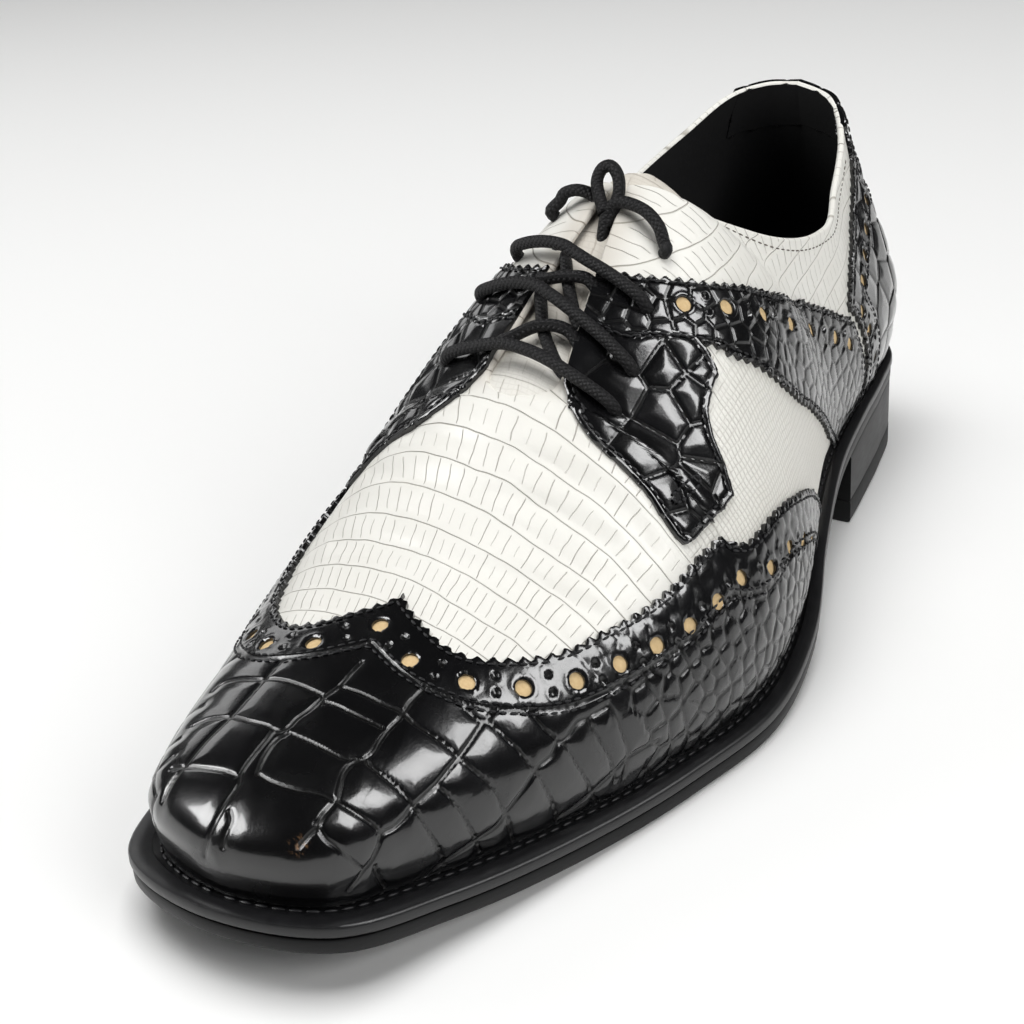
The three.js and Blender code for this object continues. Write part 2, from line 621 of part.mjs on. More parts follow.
const shoe = new THREE.Group();
function add(name, geometry, look) {
  const mesh = new THREE.Mesh(geometry, look);
  mesh.name = name;
  shoe.add(mesh);
}
add('outsole', outsole, edgeBlack());
add('welt', welt, edgeBlack());
add('insole', insole, material(0x1b1a1a, 0.7));
add('heel_stack', heelStack, edgeBlack());
add('heel_lift', heelLift, material(0x101012, 0.6));
add('upper', upper, whiteLeather());
add('tongue', tongue, whiteLeather());
add('wingtip', wingtip, blackLeather());
add('lace_stay_lateral', stay(1), blackLeather());
add('lace_stay_medial', stay(-1), blackLeather());
add('saddle_strip_lateral', strip(1), blackLeather());
add('saddle_strip_medial', strip(-1), blackLeather());
add('heel_counter', counter, blackLeather());
add('collar_tab', tab, blackLeather());
add('laces', laces, material(0x0b0b0c, 0.6));
add('lace_end_lateral', lateralEnd, material(0x0b0b0c, 0.6));
add('lace_end_medial', medialEnd, material(0x0b0b0c, 0.6));

export default shoe;
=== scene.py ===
# A left wingtip derby shoe in black and white embossed leather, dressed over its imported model.
import math
import bpy
import numpy as np
from mathutils import Matrix, Vector, kdtree


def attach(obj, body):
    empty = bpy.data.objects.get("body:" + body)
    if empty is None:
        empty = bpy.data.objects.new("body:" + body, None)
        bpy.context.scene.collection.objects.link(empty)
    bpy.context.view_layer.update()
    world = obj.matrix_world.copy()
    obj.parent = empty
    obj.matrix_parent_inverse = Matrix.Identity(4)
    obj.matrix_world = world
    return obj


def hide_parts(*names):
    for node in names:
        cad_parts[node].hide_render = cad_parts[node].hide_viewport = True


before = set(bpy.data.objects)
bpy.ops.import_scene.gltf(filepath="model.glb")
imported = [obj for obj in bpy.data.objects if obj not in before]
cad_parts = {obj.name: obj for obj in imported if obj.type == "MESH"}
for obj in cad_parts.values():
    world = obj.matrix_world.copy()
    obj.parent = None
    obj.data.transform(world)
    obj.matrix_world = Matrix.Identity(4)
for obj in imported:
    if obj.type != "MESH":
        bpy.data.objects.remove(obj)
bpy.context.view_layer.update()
mm = 0.001  # tables below are in millimetres, the scene is in metres
rng = np.random.default_rng(7)

# Camera, floor and lights
camera = {
    "azimuth": 39.39, "elevation": 24.39, "roll": -7.68,  # degrees, as the photo was taken
    "target": (-72.05, -38.96, 45.77), "distance": 447.74,  # what the whole photo's middle looks at
    "focal": 1289.41, "frameSize": 1024,  # pixels of the photo
    "middle": (686, 536), "closer": 1.38,  # the shoe's middle in the photo, and its enlargement
}


def makeCamera(v):
    azimuth, elevation, roll = (math.radians(v[k]) for k in ("azimuth", "elevation", "roll"))
    flat = math.cos(elevation)
    back = Vector((math.sin(azimuth) * flat, -math.cos(azimuth) * flat, math.sin(elevation)))
    right = Vector((math.cos(azimuth), math.sin(azimuth), 0))
    up = back.cross(right)
    across = right * math.cos(roll) + up * math.sin(roll)
    above = up * math.cos(roll) - right * math.sin(roll)
    eye = Vector(v["target"]) + back * v["distance"]
    px, py = (m - v["frameSize"] / 2 for m in v["middle"])
    aim = across * (px / v["focal"]) - above * (py / v["focal"]) - back
    turn = (-back).rotation_difference(aim.normalized())
    axes = [turn @ a for a in (across, above, back)]
    data = bpy.data.cameras.new("photoCamera")
    data.sensor_width = 36
    data.lens = v["focal"] * v["closer"] / v["frameSize"] * data.sensor_width
    data.clip_start = 0.01
    obj = bpy.data.objects.new("photoCamera", data)
    obj.matrix_world = Matrix.Translation(eye * mm) @ Matrix(axes).transposed().to_4x4()
    bpy.context.collection.objects.link(obj)
    bpy.context.scene.camera = obj
    return obj


photoCamera = makeCamera(camera)

lights = {
    "world": 0.035, "floorSize": 24,
    "rows": [  # name, place, aim, width, height, power, what it lights; metres and watts
        ("sideSoftbox", (0.79, 0.16, 0.91), (0, -0.1, 0.05), 0.42, 0.62, 8.6, "gloss"),
        ("toeWindow", (-0.64, -0.54, 0.69), (0, -0.14, 0.03), 0.62, 0.46, 11.0, "gloss"),
        ("medialStrip", (-1.06, 0.53, 0.49), (0, -0.08, 0.05), 0.5, 0.35, 0.9, "gloss"),
        ("topFill", (-0.15, -0.1, 1.7), (0, 0, 0.05), 1.3, 1.3, 26, "matt"),
        ("lateralFill", (1.4, -0.5, 1.0), (0, 0, 0.05), 0.9, 0.9, 13, "matt"),
        ("medialFill", (-1.3, -0.3, 0.8), (0, 0, 0.05), 0.9, 0.9, 3.5, "matt"),
    ],
}


def addLight(name, place, aim, width, height, power, lights):
    data = bpy.data.lights.new(name, "AREA")
    data.shape = "RECTANGLE"
    data.size = width
    data.size_y = height
    data.energy = power
    obj = bpy.data.objects.new(name, data)
    obj.location = place
    obj.rotation_euler = (Vector(aim) - Vector(place)).to_track_quat("-Z", "Y").to_euler()
    obj.visible_glossy = lights == "gloss"
    obj.visible_diffuse = lights == "matt"
    bpy.context.collection.objects.link(obj)


def addNode(tree, kind, settings=None, links=None):
    node = tree.nodes.new(kind)
    for key, value in (settings or {}).items():
        if isinstance(key, int) or (key in node.inputs and not hasattr(node, str(key))):
            node.inputs[key].default_value = value
        else:
            setattr(node, key, value)
    for key, socket in (links or {}).items():
        tree.links.new(node.inputs[key], socket)
    return node


def hexColor(code, alpha=1.0):
    parts = [int(code[i:i + 2], 16) / 255 for i in (1, 3, 5)]
    linear = [c / 12.92 if c <= 0.04045 else ((c + 0.055) / 1.055) ** 2.4 for c in parts]
    return (*linear, alpha)


def newMaterial(name):
    material = bpy.data.materials.new(name)
    material.use_nodes = True
    tree = material.node_tree
    return material, tree, tree.nodes["Principled BSDF"]


def deselect():
    bpy.ops.object.select_all(action="DESELECT")


def makeStage(v):
    world = bpy.data.worlds.new("studio")
    world.use_nodes = True
    world.node_tree.nodes["Background"].inputs["Color"].default_value = hexColor("#ffffff")
    world.node_tree.nodes["Background"].inputs["Strength"].default_value = v["world"]
    bpy.context.scene.world = world
    bpy.context.scene.view_settings.view_transform = "Standard"
    deselect()
    bpy.ops.mesh.primitive_plane_add(size=v["floorSize"], location=(0, 0, -0.0002))
    floor = bpy.context.active_object
    floor.name = "studioFloor"
    floor.data.transform(floor.matrix_world)
    floor.matrix_world = Matrix.Identity(4)
    paper, tree, shader = newMaterial("paleStudioPaper")  # matt seamless paper
    shader.inputs["Base Color"].default_value = hexColor("#fbfbfa")
    shader.inputs["Roughness"].default_value = 0.9
    shader.inputs["Specular IOR Level"].default_value = 0.1
    floor.data.materials.append(paper)
    for row in v["rows"]:
        addLight(*row)


makeStage(lights)
print("camera, floor and lights are set")

# The last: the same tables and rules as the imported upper, so each piece lies on it
last = {
    "toeSpring": 10.95, "springStart": -67.3, "springRun": 84, "heelHeight": 22.22,
    "shankStart": -37.3, "shankRun": 135, "heelBreast": 76.4, "heelLift": 6.5, "outsole": 3.8,
    "soleStack": 7.16, "weltLedge": 9, "wall": 1.8, "leather": 1, "gap": 0.3, "ridgeRadius": 24,
    "slitStart": -37, "slitRound": 8, "slitFront": 11, "slitBack": 2.5, "lace": 3, "centreX": -0.24,
}
sectionColumns = ["latX", "latY", "medX", "medY", "inset", "bulge", "low", "topY", "topX",
                  "topL", "topM", "openL", "openM", "slope", "riseL", "runL", "riseM", "runM"]
sections = [
    [-7.9, -155, -7.9, -155, 7.5, 1.5, 10, -115, -6.4, 0, 0, 0, 0, 0, 0.6, 0.62, 0.6, 0.62],
    [16.5, -148, -32.8, -147.1, 8.5, 1.5, 10, -113, -6.3, 0, 0, 0, 0, 0, 0.6, 0.62, 0.59, 0.61],
    [28.7, -124.2, -45.2, -127.5, 8.5, 1.5, 10, -106, -6, 0, 0, 0, 0, 0, 0.57, 0.62, 0.57, 0.62],
    [41, -92.1, -53, -97.8, 7.5, 1.8, 11, -88, -5.2, 0, 0, 0, 0, 0, 0.52, 0.6, 0.55, 0.61],
    [51.7, -60.6, -58.6, -66.4, 6.5, 2.2, 12, -63, -4.2, 0, 0, 0, 0, 0, 0.46, 0.57, 0.53, 0.6],
    [58.6, -30.7, -57.9, -36.7, 6.5, 2.5, 12, -38, -2.8, 0, 0, 0, 0, 0, 0.41, 0.52, 0.5, 0.58],
    [56.2, 0.6, -46.8, -8.5, 6, 2.5, 12, -9, -0.7, 0, 0, 0, 0, 0, 0.38, 0.48, 0.5, 0.58],
    [47.5, 31.5, -31.1, 23.3, 5.5, 2.5, 12, 14, 1.2, 0, 0, 0, 0, 0, 0.38, 0.46, 0.5, 0.58],
    [40.4, 61.8, -24.2, 57.1, 5, 2, 12, 49.6, 2, 90.5, 97, 22.9, 22, 68, 0.35, 0.4, 0.48, 0.5],
    [36.9, 91, -24.9, 89.3, 4.2, 2.2, 14, 81.4, 3, 83.5, 97, 25, 27.5, 75, 0.35, 0.35, 0.42, 0.42],
    [33.7, 115.4, -28.3, 116.3, 3.6, 2.5, 16, 107, 2.5, 87, 99, 19, 28, 77, 0.3, 0.35, 0.36, 0.38],
    [29.3, 136.2, -28.6, 137.4, 3.4, 2.8, 18, 126.5, 1.5, 96, 105, 14.8, 22, 78, 0.25, 0.35, 0.3, 0.35],
    [18.5, 150, -20, 150.9, 3.4, 3, 20, 135.2, 0, 104.5, 107.6, 9.8, 11.5, 79, 0.25, 0.35, 0.25, 0.35],
    [-1.6, 155, -1.6, 155, 3.4, 3.2, 22, 137.8, -1.6, 108, 108, 0, 0, 79, 0.25, 0.35, 0.25, 0.35],
]
ridgeSide = np.array([(-150, 37), (-118, 40), (-90, 46.5), (-64, 57.5), (-38, 77),
                      (-12, 96), (14, 112.5), (40, 122)], float)
table = {name: np.array([row[k] for row in sections], float) for k, name in enumerate(sectionColumns)}
lastStation = len(sections) - 1
around = 2 * lastStation
corner = 7
lowShare = 0.2
ringX = np.concatenate([table["latX"], table["medX"][-2:0:-1]])
ringY = np.concatenate([table["latY"], table["medY"][-2:0:-1]])


def mix(a, b, t):
    return a + (b - a) * t


def spline(a, b, c, d, t):
    return 0.5 * (2 * b + (c - a) * t + (2 * a - 5 * b + 4 * c - d) * t ** 2
                  + (3 * b - a - 3 * c + d) * t ** 3)


def along(values, s):
    values = np.asarray(values, float)
    end = len(values) - 1
    s = np.asarray(s, float)
    i = np.clip(np.floor(s).astype(int), 0, end - 1)
    at = [values[np.clip(i + k, 0, end)] for k in (-1, 0, 1, 2)]
    return spline(*at, s - i)


def soleHeight(y):
    toe = np.maximum(0, (last["springStart"] - y) / last["springRun"])
    shank = np.clip((y - last["shankStart"]) / last["shankRun"], 0, 1)
    return last["toeSpring"] * toe ** 2 + last["heelHeight"] * shank ** 2 * (3 - 2 * shank)


def ridgeHeight(y):
    ys, zs = ridgeSide[:, 0], ridgeSide[:, 1]
    end = len(ys) - 1
    i = np.clip(np.searchsorted(ys, y, side="left") - 1, 0, end - 1)
    before, after = np.maximum(np.arange(end + 1) - 1, 0), np.minimum(np.arange(end + 1) + 1, end)
    slopes = (zs[after] - zs[before]) / (ys[after] - ys[before])
    step = ys[i + 1] - ys[i]
    t = (y - ys[i]) / step
    return ((2 * t ** 3 - 3 * t ** 2 + 1) * zs[i] + (t ** 3 - 2 * t ** 2 + t) * step * slopes[i]
            + (3 * t ** 2 - 2 * t ** 3) * zs[i + 1] + (t ** 3 - t ** 2) * step * slopes[i + 1])


def outline(r):
    r = np.asarray(r, float)
    i = np.floor(r).astype(int)
    t = r - i
    xs = [ringX[(i + k) % around] for k in (-1, 0, 1, 2)]
    ys = [ringY[(i + k) % around] for k in (-1, 0, 1, 2)]
    return np.stack([spline(*xs, t) - last["centreX"], spline(*ys, t)], -1)


def outward(r):
    way = outline(r + 0.05) - outline(r - 0.05)
    way /= np.linalg.norm(way, axis=-1, keepdims=True)
    return np.stack([way[..., 1], -way[..., 0]], -1)


def insetPoint(r, distance):
    return outline(r) - outward(r) * np.asarray(distance)[..., None]


def ring(side, s):
    return s if side > 0 else around - np.asarray(s, float)


def rib(r):
    r = np.asarray(r, float) % around
    outer = r <= lastStation
    side = np.where(outer, 1.0, -1.0)
    s = np.where(outer, r, around - r)
    foot = insetPoint(r, along(table["inset"], s))
    out = outward(r)
    footZ = soleHeight(foot[..., 1]) + last["soleStack"] + last["gap"]
    bulge, low = along(table["bulge"], s), along(table["low"], s)
    wide = np.concatenate([foot + out * bulge[..., None], (footZ + low)[..., None]], -1)
    q = np.minimum(s, corner)
    y = along(table["topY"][:corner + 1], q)
    x = along(table["topX"][:corner + 1], q) - last["centreX"]
    z = ridgeHeight(y)
    start = last["slitStart"]
    opened = np.clip((y - start) / last["slitRound"], 0, 1)
    cornerY = table["topY"][corner]
    straight = mix(last["slitFront"], last["slitBack"], np.clip((y - start) / (cornerY - start), 0, 1))
    gap = straight * np.sqrt(1 - (1 - opened) ** 2)
    angle = gap / last["ridgeRadius"]
    slope = ridgeHeight(y + 0.5) - ridgeHeight(y - 0.5)
    top = np.stack([x + side * gap, y, z - last["ridgeRadius"] * (1 - np.cos(angle))], -1)
    lean = angle
    cornerAngle = last["slitBack"] / last["ridgeRadius"]
    cornerZ = float(ridgeHeight(np.array(cornerY))) - last["ridgeRadius"] * (1 - math.cos(cornerAngle))

    def rear(name, first):
        return along(np.concatenate([[first], table[name][corner + 1:]]), np.maximum(s - corner, 0))

    opening = np.where(outer, rear("openL", last["slitBack"]), rear("openM", last["slitBack"]))
    height = np.where(outer, rear("topL", cornerZ), rear("topM", cornerZ))
    middle = rear("topX", table["topX"][corner]) - last["centreX"]
    rearTop = np.stack([middle + side * opening, rear("topY", cornerY), height], -1)
    isRear = s > corner
    top = np.where(isRear[..., None], rearTop, top)
    lean = np.where(isRear, np.radians(rear("slope", math.degrees(cornerAngle))), lean)
    inward = top[..., :2] - wide[..., :2]
    reach = np.linalg.norm(inward, axis=-1)
    inward = inward / reach[..., None]
    flat = np.clip(1 - lean / (math.pi / 3), 0, 1)
    heading = np.stack([inward[..., 0] * np.cos(lean), inward[..., 1] * np.cos(lean),
                        np.sin(lean) + np.cos(lean) * slope * inward[..., 1] * flat], -1)
    climb = top[..., 2] - wide[..., 2]
    rise = np.where(outer, along(table["riseL"], s), along(table["riseM"], s)) * climb
    run = np.where(outer, along(table["runL"], s), along(table["runM"], s)) * (
        reach * np.cos(lean) + climb * np.sin(lean))
    lowHandle = wide.copy()
    lowHandle[..., 2] += rise
    highHandle = top - heading * run[..., None]
    return {"side": side, "foot": foot, "out": out, "footZ": footZ, "bulge": bulge, "low": low,
            "wide": wide, "lowHandle": lowHandle, "highHandle": highHandle, "top": top,
            "gap": gap, "x": x, "y": y, "z": z, "slope": slope, "s": s}


def surface(r, w):
    r, w = np.broadcast_arrays(np.asarray(r, float), np.asarray(w, float))
    b = rib(r)
    t = np.clip(w / lowShare, 0, 1)
    swell = b["bulge"] * (1 - (1 - t) ** 2)
    below = np.concatenate([b["foot"] + b["out"] * swell[..., None], (b["footZ"] + b["low"] * t)[..., None]], -1)
    angle = b["gap"] / last["ridgeRadius"] * (2 - w)
    over = np.stack([b["x"] + b["side"] * last["ridgeRadius"] * np.sin(angle), b["y"],
                     b["z"] - last["ridgeRadius"] * (1 - np.cos(angle))], -1)
    q = np.clip((w - lowShare) / (1 - lowShare), 0, 1)[..., None]
    p = 1 - q
    middle = (b["wide"] * p ** 3 + b["lowHandle"] * 3 * p * p * q
              + b["highHandle"] * 3 * p * q * q + b["top"] * q ** 3)
    return np.where((w < lowShare)[..., None], below, np.where((w > 1)[..., None], over, middle))


def normalAt(r, w):
    r, w = np.broadcast_arrays(np.asarray(r, float), np.asarray(w, float))
    b = rib(r)
    step = 0.02
    over = surface(r + step, w) - surface(r - step, w)
    up = surface(r, np.minimum(1, w + step)) - surface(r, np.maximum(0, w - step))
    normal = np.cross(over, up)
    low = w < 0.001
    normal[..., 2] = np.where(low, 0, normal[..., 2])
    normal /= np.maximum(np.linalg.norm(normal, axis=-1, keepdims=True), 1e-9)
    angle = b["gap"] / last["ridgeRadius"] * (2 - np.maximum(1, w))
    tilt = np.stack([b["side"] * np.sin(angle), -b["slope"] * np.cos(angle), np.cos(angle)], -1)
    tilt /= np.linalg.norm(tilt, axis=-1, keepdims=True)
    onRidge = (w > 1) | ((b["s"] < corner) & (b["gap"] < 0.01) & (w > 0.999))
    return np.where(onRidge[..., None], tilt, normal)


def place(r, w, distance):
    return surface(r, w) + normalAt(r, w) * np.asarray(distance, float)[..., None]


def castGrid():
    # where the camera sees each spot of the last, a little above it
    r, w = np.meshgrid(np.linspace(0, around, 2081)[:-1], np.linspace(0, 1, 281), indexing="ij")
    normal = normalAt(r, w)
    points = surface(r, w) + normal * 1.2
    pose = np.array(photoCamera.matrix_world)
    seen = points - pose[:3, 3] / mm
    across, above, behind = (seen @ pose[:3, k] for k in range(3))
    scale = camera["focal"] * camera["closer"]
    middle = camera["frameSize"] / 2
    facing = np.sum(normal * seen, axis=-1) < 0
    return {"r": r[facing], "w": w[facing], "u": (middle + scale * across / -behind)[facing],
            "v": (middle - scale * above / -behind)[facing]}


cast = castGrid()


def onShoe(pixels):
    # (station round the ring, height) under pixels read off the photo as the camera frames it
    found = []
    for u, v in pixels:
        k = np.argmin((cast["u"] - u) ** 2 + (cast["v"] - v) ** 2)
        found.append((cast["r"][k], cast["w"][k]))
    return np.array(found)


def sightPoint(u, v, y):
    # the point at depth y behind a pixel of the photo
    pose = np.array(photoCamera.matrix_world)
    eye, scale, middle = pose[:3, 3] / mm, camera["focal"] * camera["closer"], camera["frameSize"] / 2
    ray = pose[:3, 0] * (u - middle) / scale - pose[:3, 1] * (v - middle) / scale - pose[:3, 2]
    return eye + ray * (y - eye[1]) / ray[1]


def onLateral(pixels):
    return [tuple(p) for p in onShoe(pixels)]


print("the last is ready")


# Mesh helpers
def buildMesh(name, points, faces, material, attributes=None, smooth=None, uv=None):
    mesh = bpy.data.meshes.new(name)
    groups = faces if isinstance(faces, list) else [faces]
    groups = [np.asarray(g, np.int32) for g in groups if len(g)]
    mesh.vertices.add(len(points))
    mesh.vertices.foreach_set("co", (np.asarray(points, float) * mm).ravel())
    corners = np.concatenate([g.ravel() for g in groups])
    sizes = np.concatenate([np.full(len(g), g.shape[1]) for g in groups])
    starts = np.concatenate([[0], np.cumsum(sizes)[:-1]]).astype(np.int32)
    mesh.loops.add(len(corners))
    mesh.loops.foreach_set("vertex_index", corners)
    mesh.polygons.add(len(sizes))
    mesh.polygons.foreach_set("loop_start", starts)
    mesh.polygons.foreach_set("use_smooth", np.ones(len(sizes), bool))
    if uv is not None:
        layer = mesh.uv_layers.new(name="along")
        layer.data.foreach_set("uv", np.asarray(uv, np.float32)[corners].ravel())
    mesh.update(calc_edges=True)
    mesh.validate()
    for key, values in (attributes or {}).items():
        field = mesh.attributes.new(key, "FLOAT", "POINT")
        field.data.foreach_set("value", np.asarray(values, np.float32))
    obj = bpy.data.objects.new(name, mesh)
    bpy.context.collection.objects.link(obj)
    mesh.materials.append(material)
    if smooth is not None:
        deselect()
        obj.select_set(True)
        bpy.context.view_layer.objects.active = obj
        bpy.ops.object.shade_smooth_by_angle(angle=math.radians(smooth))
    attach(obj, "root")
    return obj


def curveThrough(points, spacing):
    points = np.asarray(points, float)
    t = np.linspace(0, len(points) - 1, 40 * len(points))
    fine = np.stack([along(points[:, k], t) for k in range(3)], -1)
    lengths = np.concatenate([[0], np.cumsum(np.linalg.norm(np.diff(fine, axis=0), axis=1))])
    steps = max(2, int(round(lengths[-1] / spacing)) + 1)
    at = np.linspace(0, lengths[-1], steps)
    return np.stack([np.interp(at, lengths, fine[:, k]) for k in range(3)], -1), lengths[-1]


def tube(path, radius, sides):
    tangents = np.gradient(path, axis=0)
    tangents /= np.linalg.norm(tangents, axis=1, keepdims=True)
    side = np.cross(tangents[0], (0, 0, 1.0))
    side /= np.linalg.norm(side)
    rings, uvs = [], []
    length = np.concatenate([[0], np.cumsum(np.linalg.norm(np.diff(path, axis=0), axis=1))])
    for k, tangent in enumerate(tangents):
        side = side - tangent * side.dot(tangent)
        side /= np.linalg.norm(side)
        other = np.cross(tangent, side)
        angles = np.linspace(0, 2 * math.pi, sides, endpoint=False)
        rings.append(path[k] + radius * (np.cos(angles)[:, None] * side + np.sin(angles)[:, None] * other))
        uvs.append(np.stack([np.full(sides, length[k]), angles / (2 * math.pi)], -1))
    points = np.concatenate(rings)
    n = len(path)
    i, j = np.meshgrid(np.arange(n - 1), np.arange(sides), indexing="ij")
    a, b = i * sides + j, i * sides + (j + 1) % sides
    quads = np.stack([a, b, b + sides, a + sides], -1).reshape(-1, 4)
    caps = [np.arange(sides)[::-1], np.arange(sides) + (n - 1) * sides]
    return points, quads, np.array(caps), np.concatenate(uvs)


def joinParts(parts):
    points, quads, caps, uvs, offset = [], [], [], [], 0
    for p, q, c, u in parts:
        points.append(p)
        quads.append(q + offset)
        caps.append(c + offset)
        uvs.append(u)
        offset += len(p)
    return np.concatenate(points), [np.concatenate(quads), np.concatenate(caps)], np.concatenate(uvs)


# Laces: round braided cotton, waxed, three millimetres thick
laceSizes = {
    "diameter": 3.0, "spacing": 0.6, "sides": 14, "over": 3.25, "braidPitch": 2.6,
    "holes": [((5.21, 0.885), (5.45, 0.86)), ((5.49, 0.88), (5.97, 0.83)),
              ((5.91, 0.885), (6.3, 0.85)), ((6.36, 0.875), (6.6, 0.885))],  # lateral and medial
}


def waxedCottonBraid():
    # Braided cotton with a wax finish: nearly black, matt, with fine crossing strands; their crests are painted lighter
    # and the crossings darker, a painted sheen and shade
    material, tree, shader = newMaterial("waxedCottonBraid")
    coords = addNode(tree, "ShaderNodeUVMap", {"uv_map": "along"})
    parts = addNode(tree, "ShaderNodeSeparateXYZ", None, {0: coords.outputs[0]})
    strands = []
    for sign in (1, -1):
        turn = addNode(tree, "ShaderNodeMath", {"operation": "MULTIPLY", 1: sign * 6.0}, {0: parts.outputs[1]})
        run = addNode(tree, "ShaderNodeMath", {"operation": "MULTIPLY", 1: 1 / laceSizes["braidPitch"] * 2},
                      {0: parts.outputs[0]})
        both = addNode(tree, "ShaderNodeMath", {"operation": "ADD"}, {0: turn.outputs[0], 1: run.outputs[0]})
        turns = addNode(tree, "ShaderNodeMath", {"operation": "MULTIPLY", 1: math.pi}, {0: both.outputs[0]})
        wave = addNode(tree, "ShaderNodeMath", {"operation": "SINE"}, {0: turns.outputs[0]})
        strands.append(addNode(tree, "ShaderNodeMath", {"operation": "ABSOLUTE"}, {0: wave.outputs[0]}))
    weave = addNode(tree, "ShaderNodeMath", {"operation": "MULTIPLY"},
                    {0: strands[0].outputs[0], 1: strands[1].outputs[0]})
    fuzz = addNode(tree, "ShaderNodeTexNoise", {"Scale": 2600.0, "Detail": 3.0},
                   {"Vector": addNode(tree, "ShaderNodeTexCoord").outputs["Object"]})
    height = addNode(tree, "ShaderNodeMath", {"operation": "MULTIPLY_ADD", 1: 0.5},
                     {0: fuzz.outputs[0], 2: weave.outputs[0]})
    bump = addNode(tree, "ShaderNodeBump", {"Strength": 0.9, "Distance": 0.00025}, {"Height": height.outputs[0]})
    # painted sheen and shade: the strand crests lighter, the crossings between them darker
    weaveSheenAndShade = addNode(tree, "ShaderNodeMix", {"data_type": "RGBA", 6: hexColor("#070708"), 7: hexColor("#1d1c1e")},
                   {0: weave.outputs[0]})
    tree.links.new(shader.inputs["Base Color"], weaveSheenAndShade.outputs[2])
    tree.links.new(shader.inputs["Normal"], bump.outputs[0])
    shader.inputs["Roughness"].default_value = 0.62
    shader.inputs["Specular IOR Level"].default_value = 0.35
    return material


laceMaterial = waxedCottonBraid()


def point(side, s, w, distance):
    return place(np.array([ring(side, s)], float), np.array([w], float), np.array([distance], float))[0]


def laceHole(k, side, distance):
    s, w = laceSizes["holes"][k][0 if side > 0 else 1]
    return point(side, s, w, distance)


def barRoute(k):
    (so, wo), (si, wi) = laceSizes["holes"][k]
    over = laceSizes["over"]
    at = [mix(so, si, t) for t in (0.05, 0.2, 0.36, 0.5, 0.64, 0.8, 0.95)]
    return [
        laceHole(k, 1, -1.6), laceHole(k, 1, 1.0), point(1, at[0], wo + 0.025, over - 0.2),
        point(1, at[1], 0.965, over + 0.1), point(1, at[2], 1.35, over + 0.1), point(1, at[3], 2, over - 0.2),
        point(-1, at[4], 1.35, over + 0.1), point(-1, at[5], 0.955, over + 0.1),
        point(-1, at[6], wi + 0.03, over - 0.2), laceHole(k, -1, 1.0), laceHole(k, -1, -1.6),
    ]


def crossingRoute(k, side, lift):
    low, high = laceSizes["holes"][k], laceSizes["holes"][k + 1]
    lowMiddle, highMiddle = mix(low[0][0], low[1][0], 0.5), mix(high[0][0], high[1][0], 0.5)
    near, far = (0, 1) if side > 0 else (1, 0)
    return [
        point(side, low[near][0] + 0.06, 0.97, -1.3), point(side, mix(low[near][0], lowMiddle, 0.5) + 0.06, 1.2, lift - 0.6),
        point(1, mix(lowMiddle, highMiddle, 0.5), 2, lift),
        point(-side, mix(high[far][0], highMiddle, 0.5) - 0.06, 1.2, lift - 0.6), point(-side, high[far][0] - 0.06, 0.97, -1.3),
    ]


laceEnds = {  # pixels of the photo and how far behind the hole each point lies
    "lateral": [(664, 243, 0.3), (659, 227, 0.8), (648, 213, 1.6), (634, 205, 2.6), (620, 202, 3.2),
                (611, 207, 3.0), (606, 217, 2.0), (604, 228, 1.0), (602, 243, 0.0)],
    "medial": [(560, 201, 0.3), (565, 193, 0.8), (578, 190, 1.6), (592, 195, 2.4), (601, 206, 2.6),
               (606, 219, 1.6), (609, 231, 0.6), (611, 246, -0.4), (610, 262, -1.4)],
    "arch": [(607, 226, 1.4), (614, 208, 3.4), (619, 192, 5.2), (618, 176, 6.4), (611, 166, 7.0),
             (602, 169, 6.6), (597, 181, 5.4), (599, 195, 3.8), (604, 212, 2.0)],
}


def endRoute(side, rows):
    hole = laceHole(3, side, 0.2)
    return [hole, laceHole(3, side, 2.2)] + [sightPoint(u, v, hole[1] + back) for u, v, back in rows]


lateralEndRoute = endRoute(1, laceEnds["lateral"])
medialEndRoute = endRoute(-1, laceEnds["medial"])
archRoute = endRoute(1, laceEnds["arch"])[2:]


def layLaces():
    steps, sides, radius = laceSizes["spacing"], laceSizes["sides"], laceSizes["diameter"] / 2
    parts = [tube(curveThrough(barRoute(k), steps)[0], radius, sides) for k in range(3)]
    for k in range(2):
        parts += [tube(curveThrough(crossingRoute(k, side, lift), steps)[0], radius, sides)
                  for side, lift in ((1, -0.9), (-1, 1.4))]
    parts.append(tube(curveThrough(archRoute, steps)[0], radius, sides))
    points, faces, uvs = joinParts(parts)
    laces = buildMesh("lacing", points, faces, laceMaterial, uv=uvs)
    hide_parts("laces")
    for name, node, route in (("laceEndLateral", "lace_end_lateral", lateralEndRoute),
                              ("laceEndMedial", "lace_end_medial", medialEndRoute)):
        path, length = curveThrough(route, steps)
        p, q, c, u = tube(path, radius, sides)
        end = buildMesh(name, p, [q, c], laceMaterial, uv=u)
        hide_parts(node)
        print(name, "is", round(length, 1), "mm long")


layLaces()
print("laces are laid")


# Sheets of leather: dense grids on the last, cut to their outlines, with relief
def sideGrid(side, stations, heights):
    s, w = np.meshgrid(stations, heights, indexing="ij")
    if w.shape != s.shape:
        w = np.broadcast_to(heights, s.shape)
    if side < 0:
        s, w = s[::-1], w[::-1]
    return ring(side, s), w


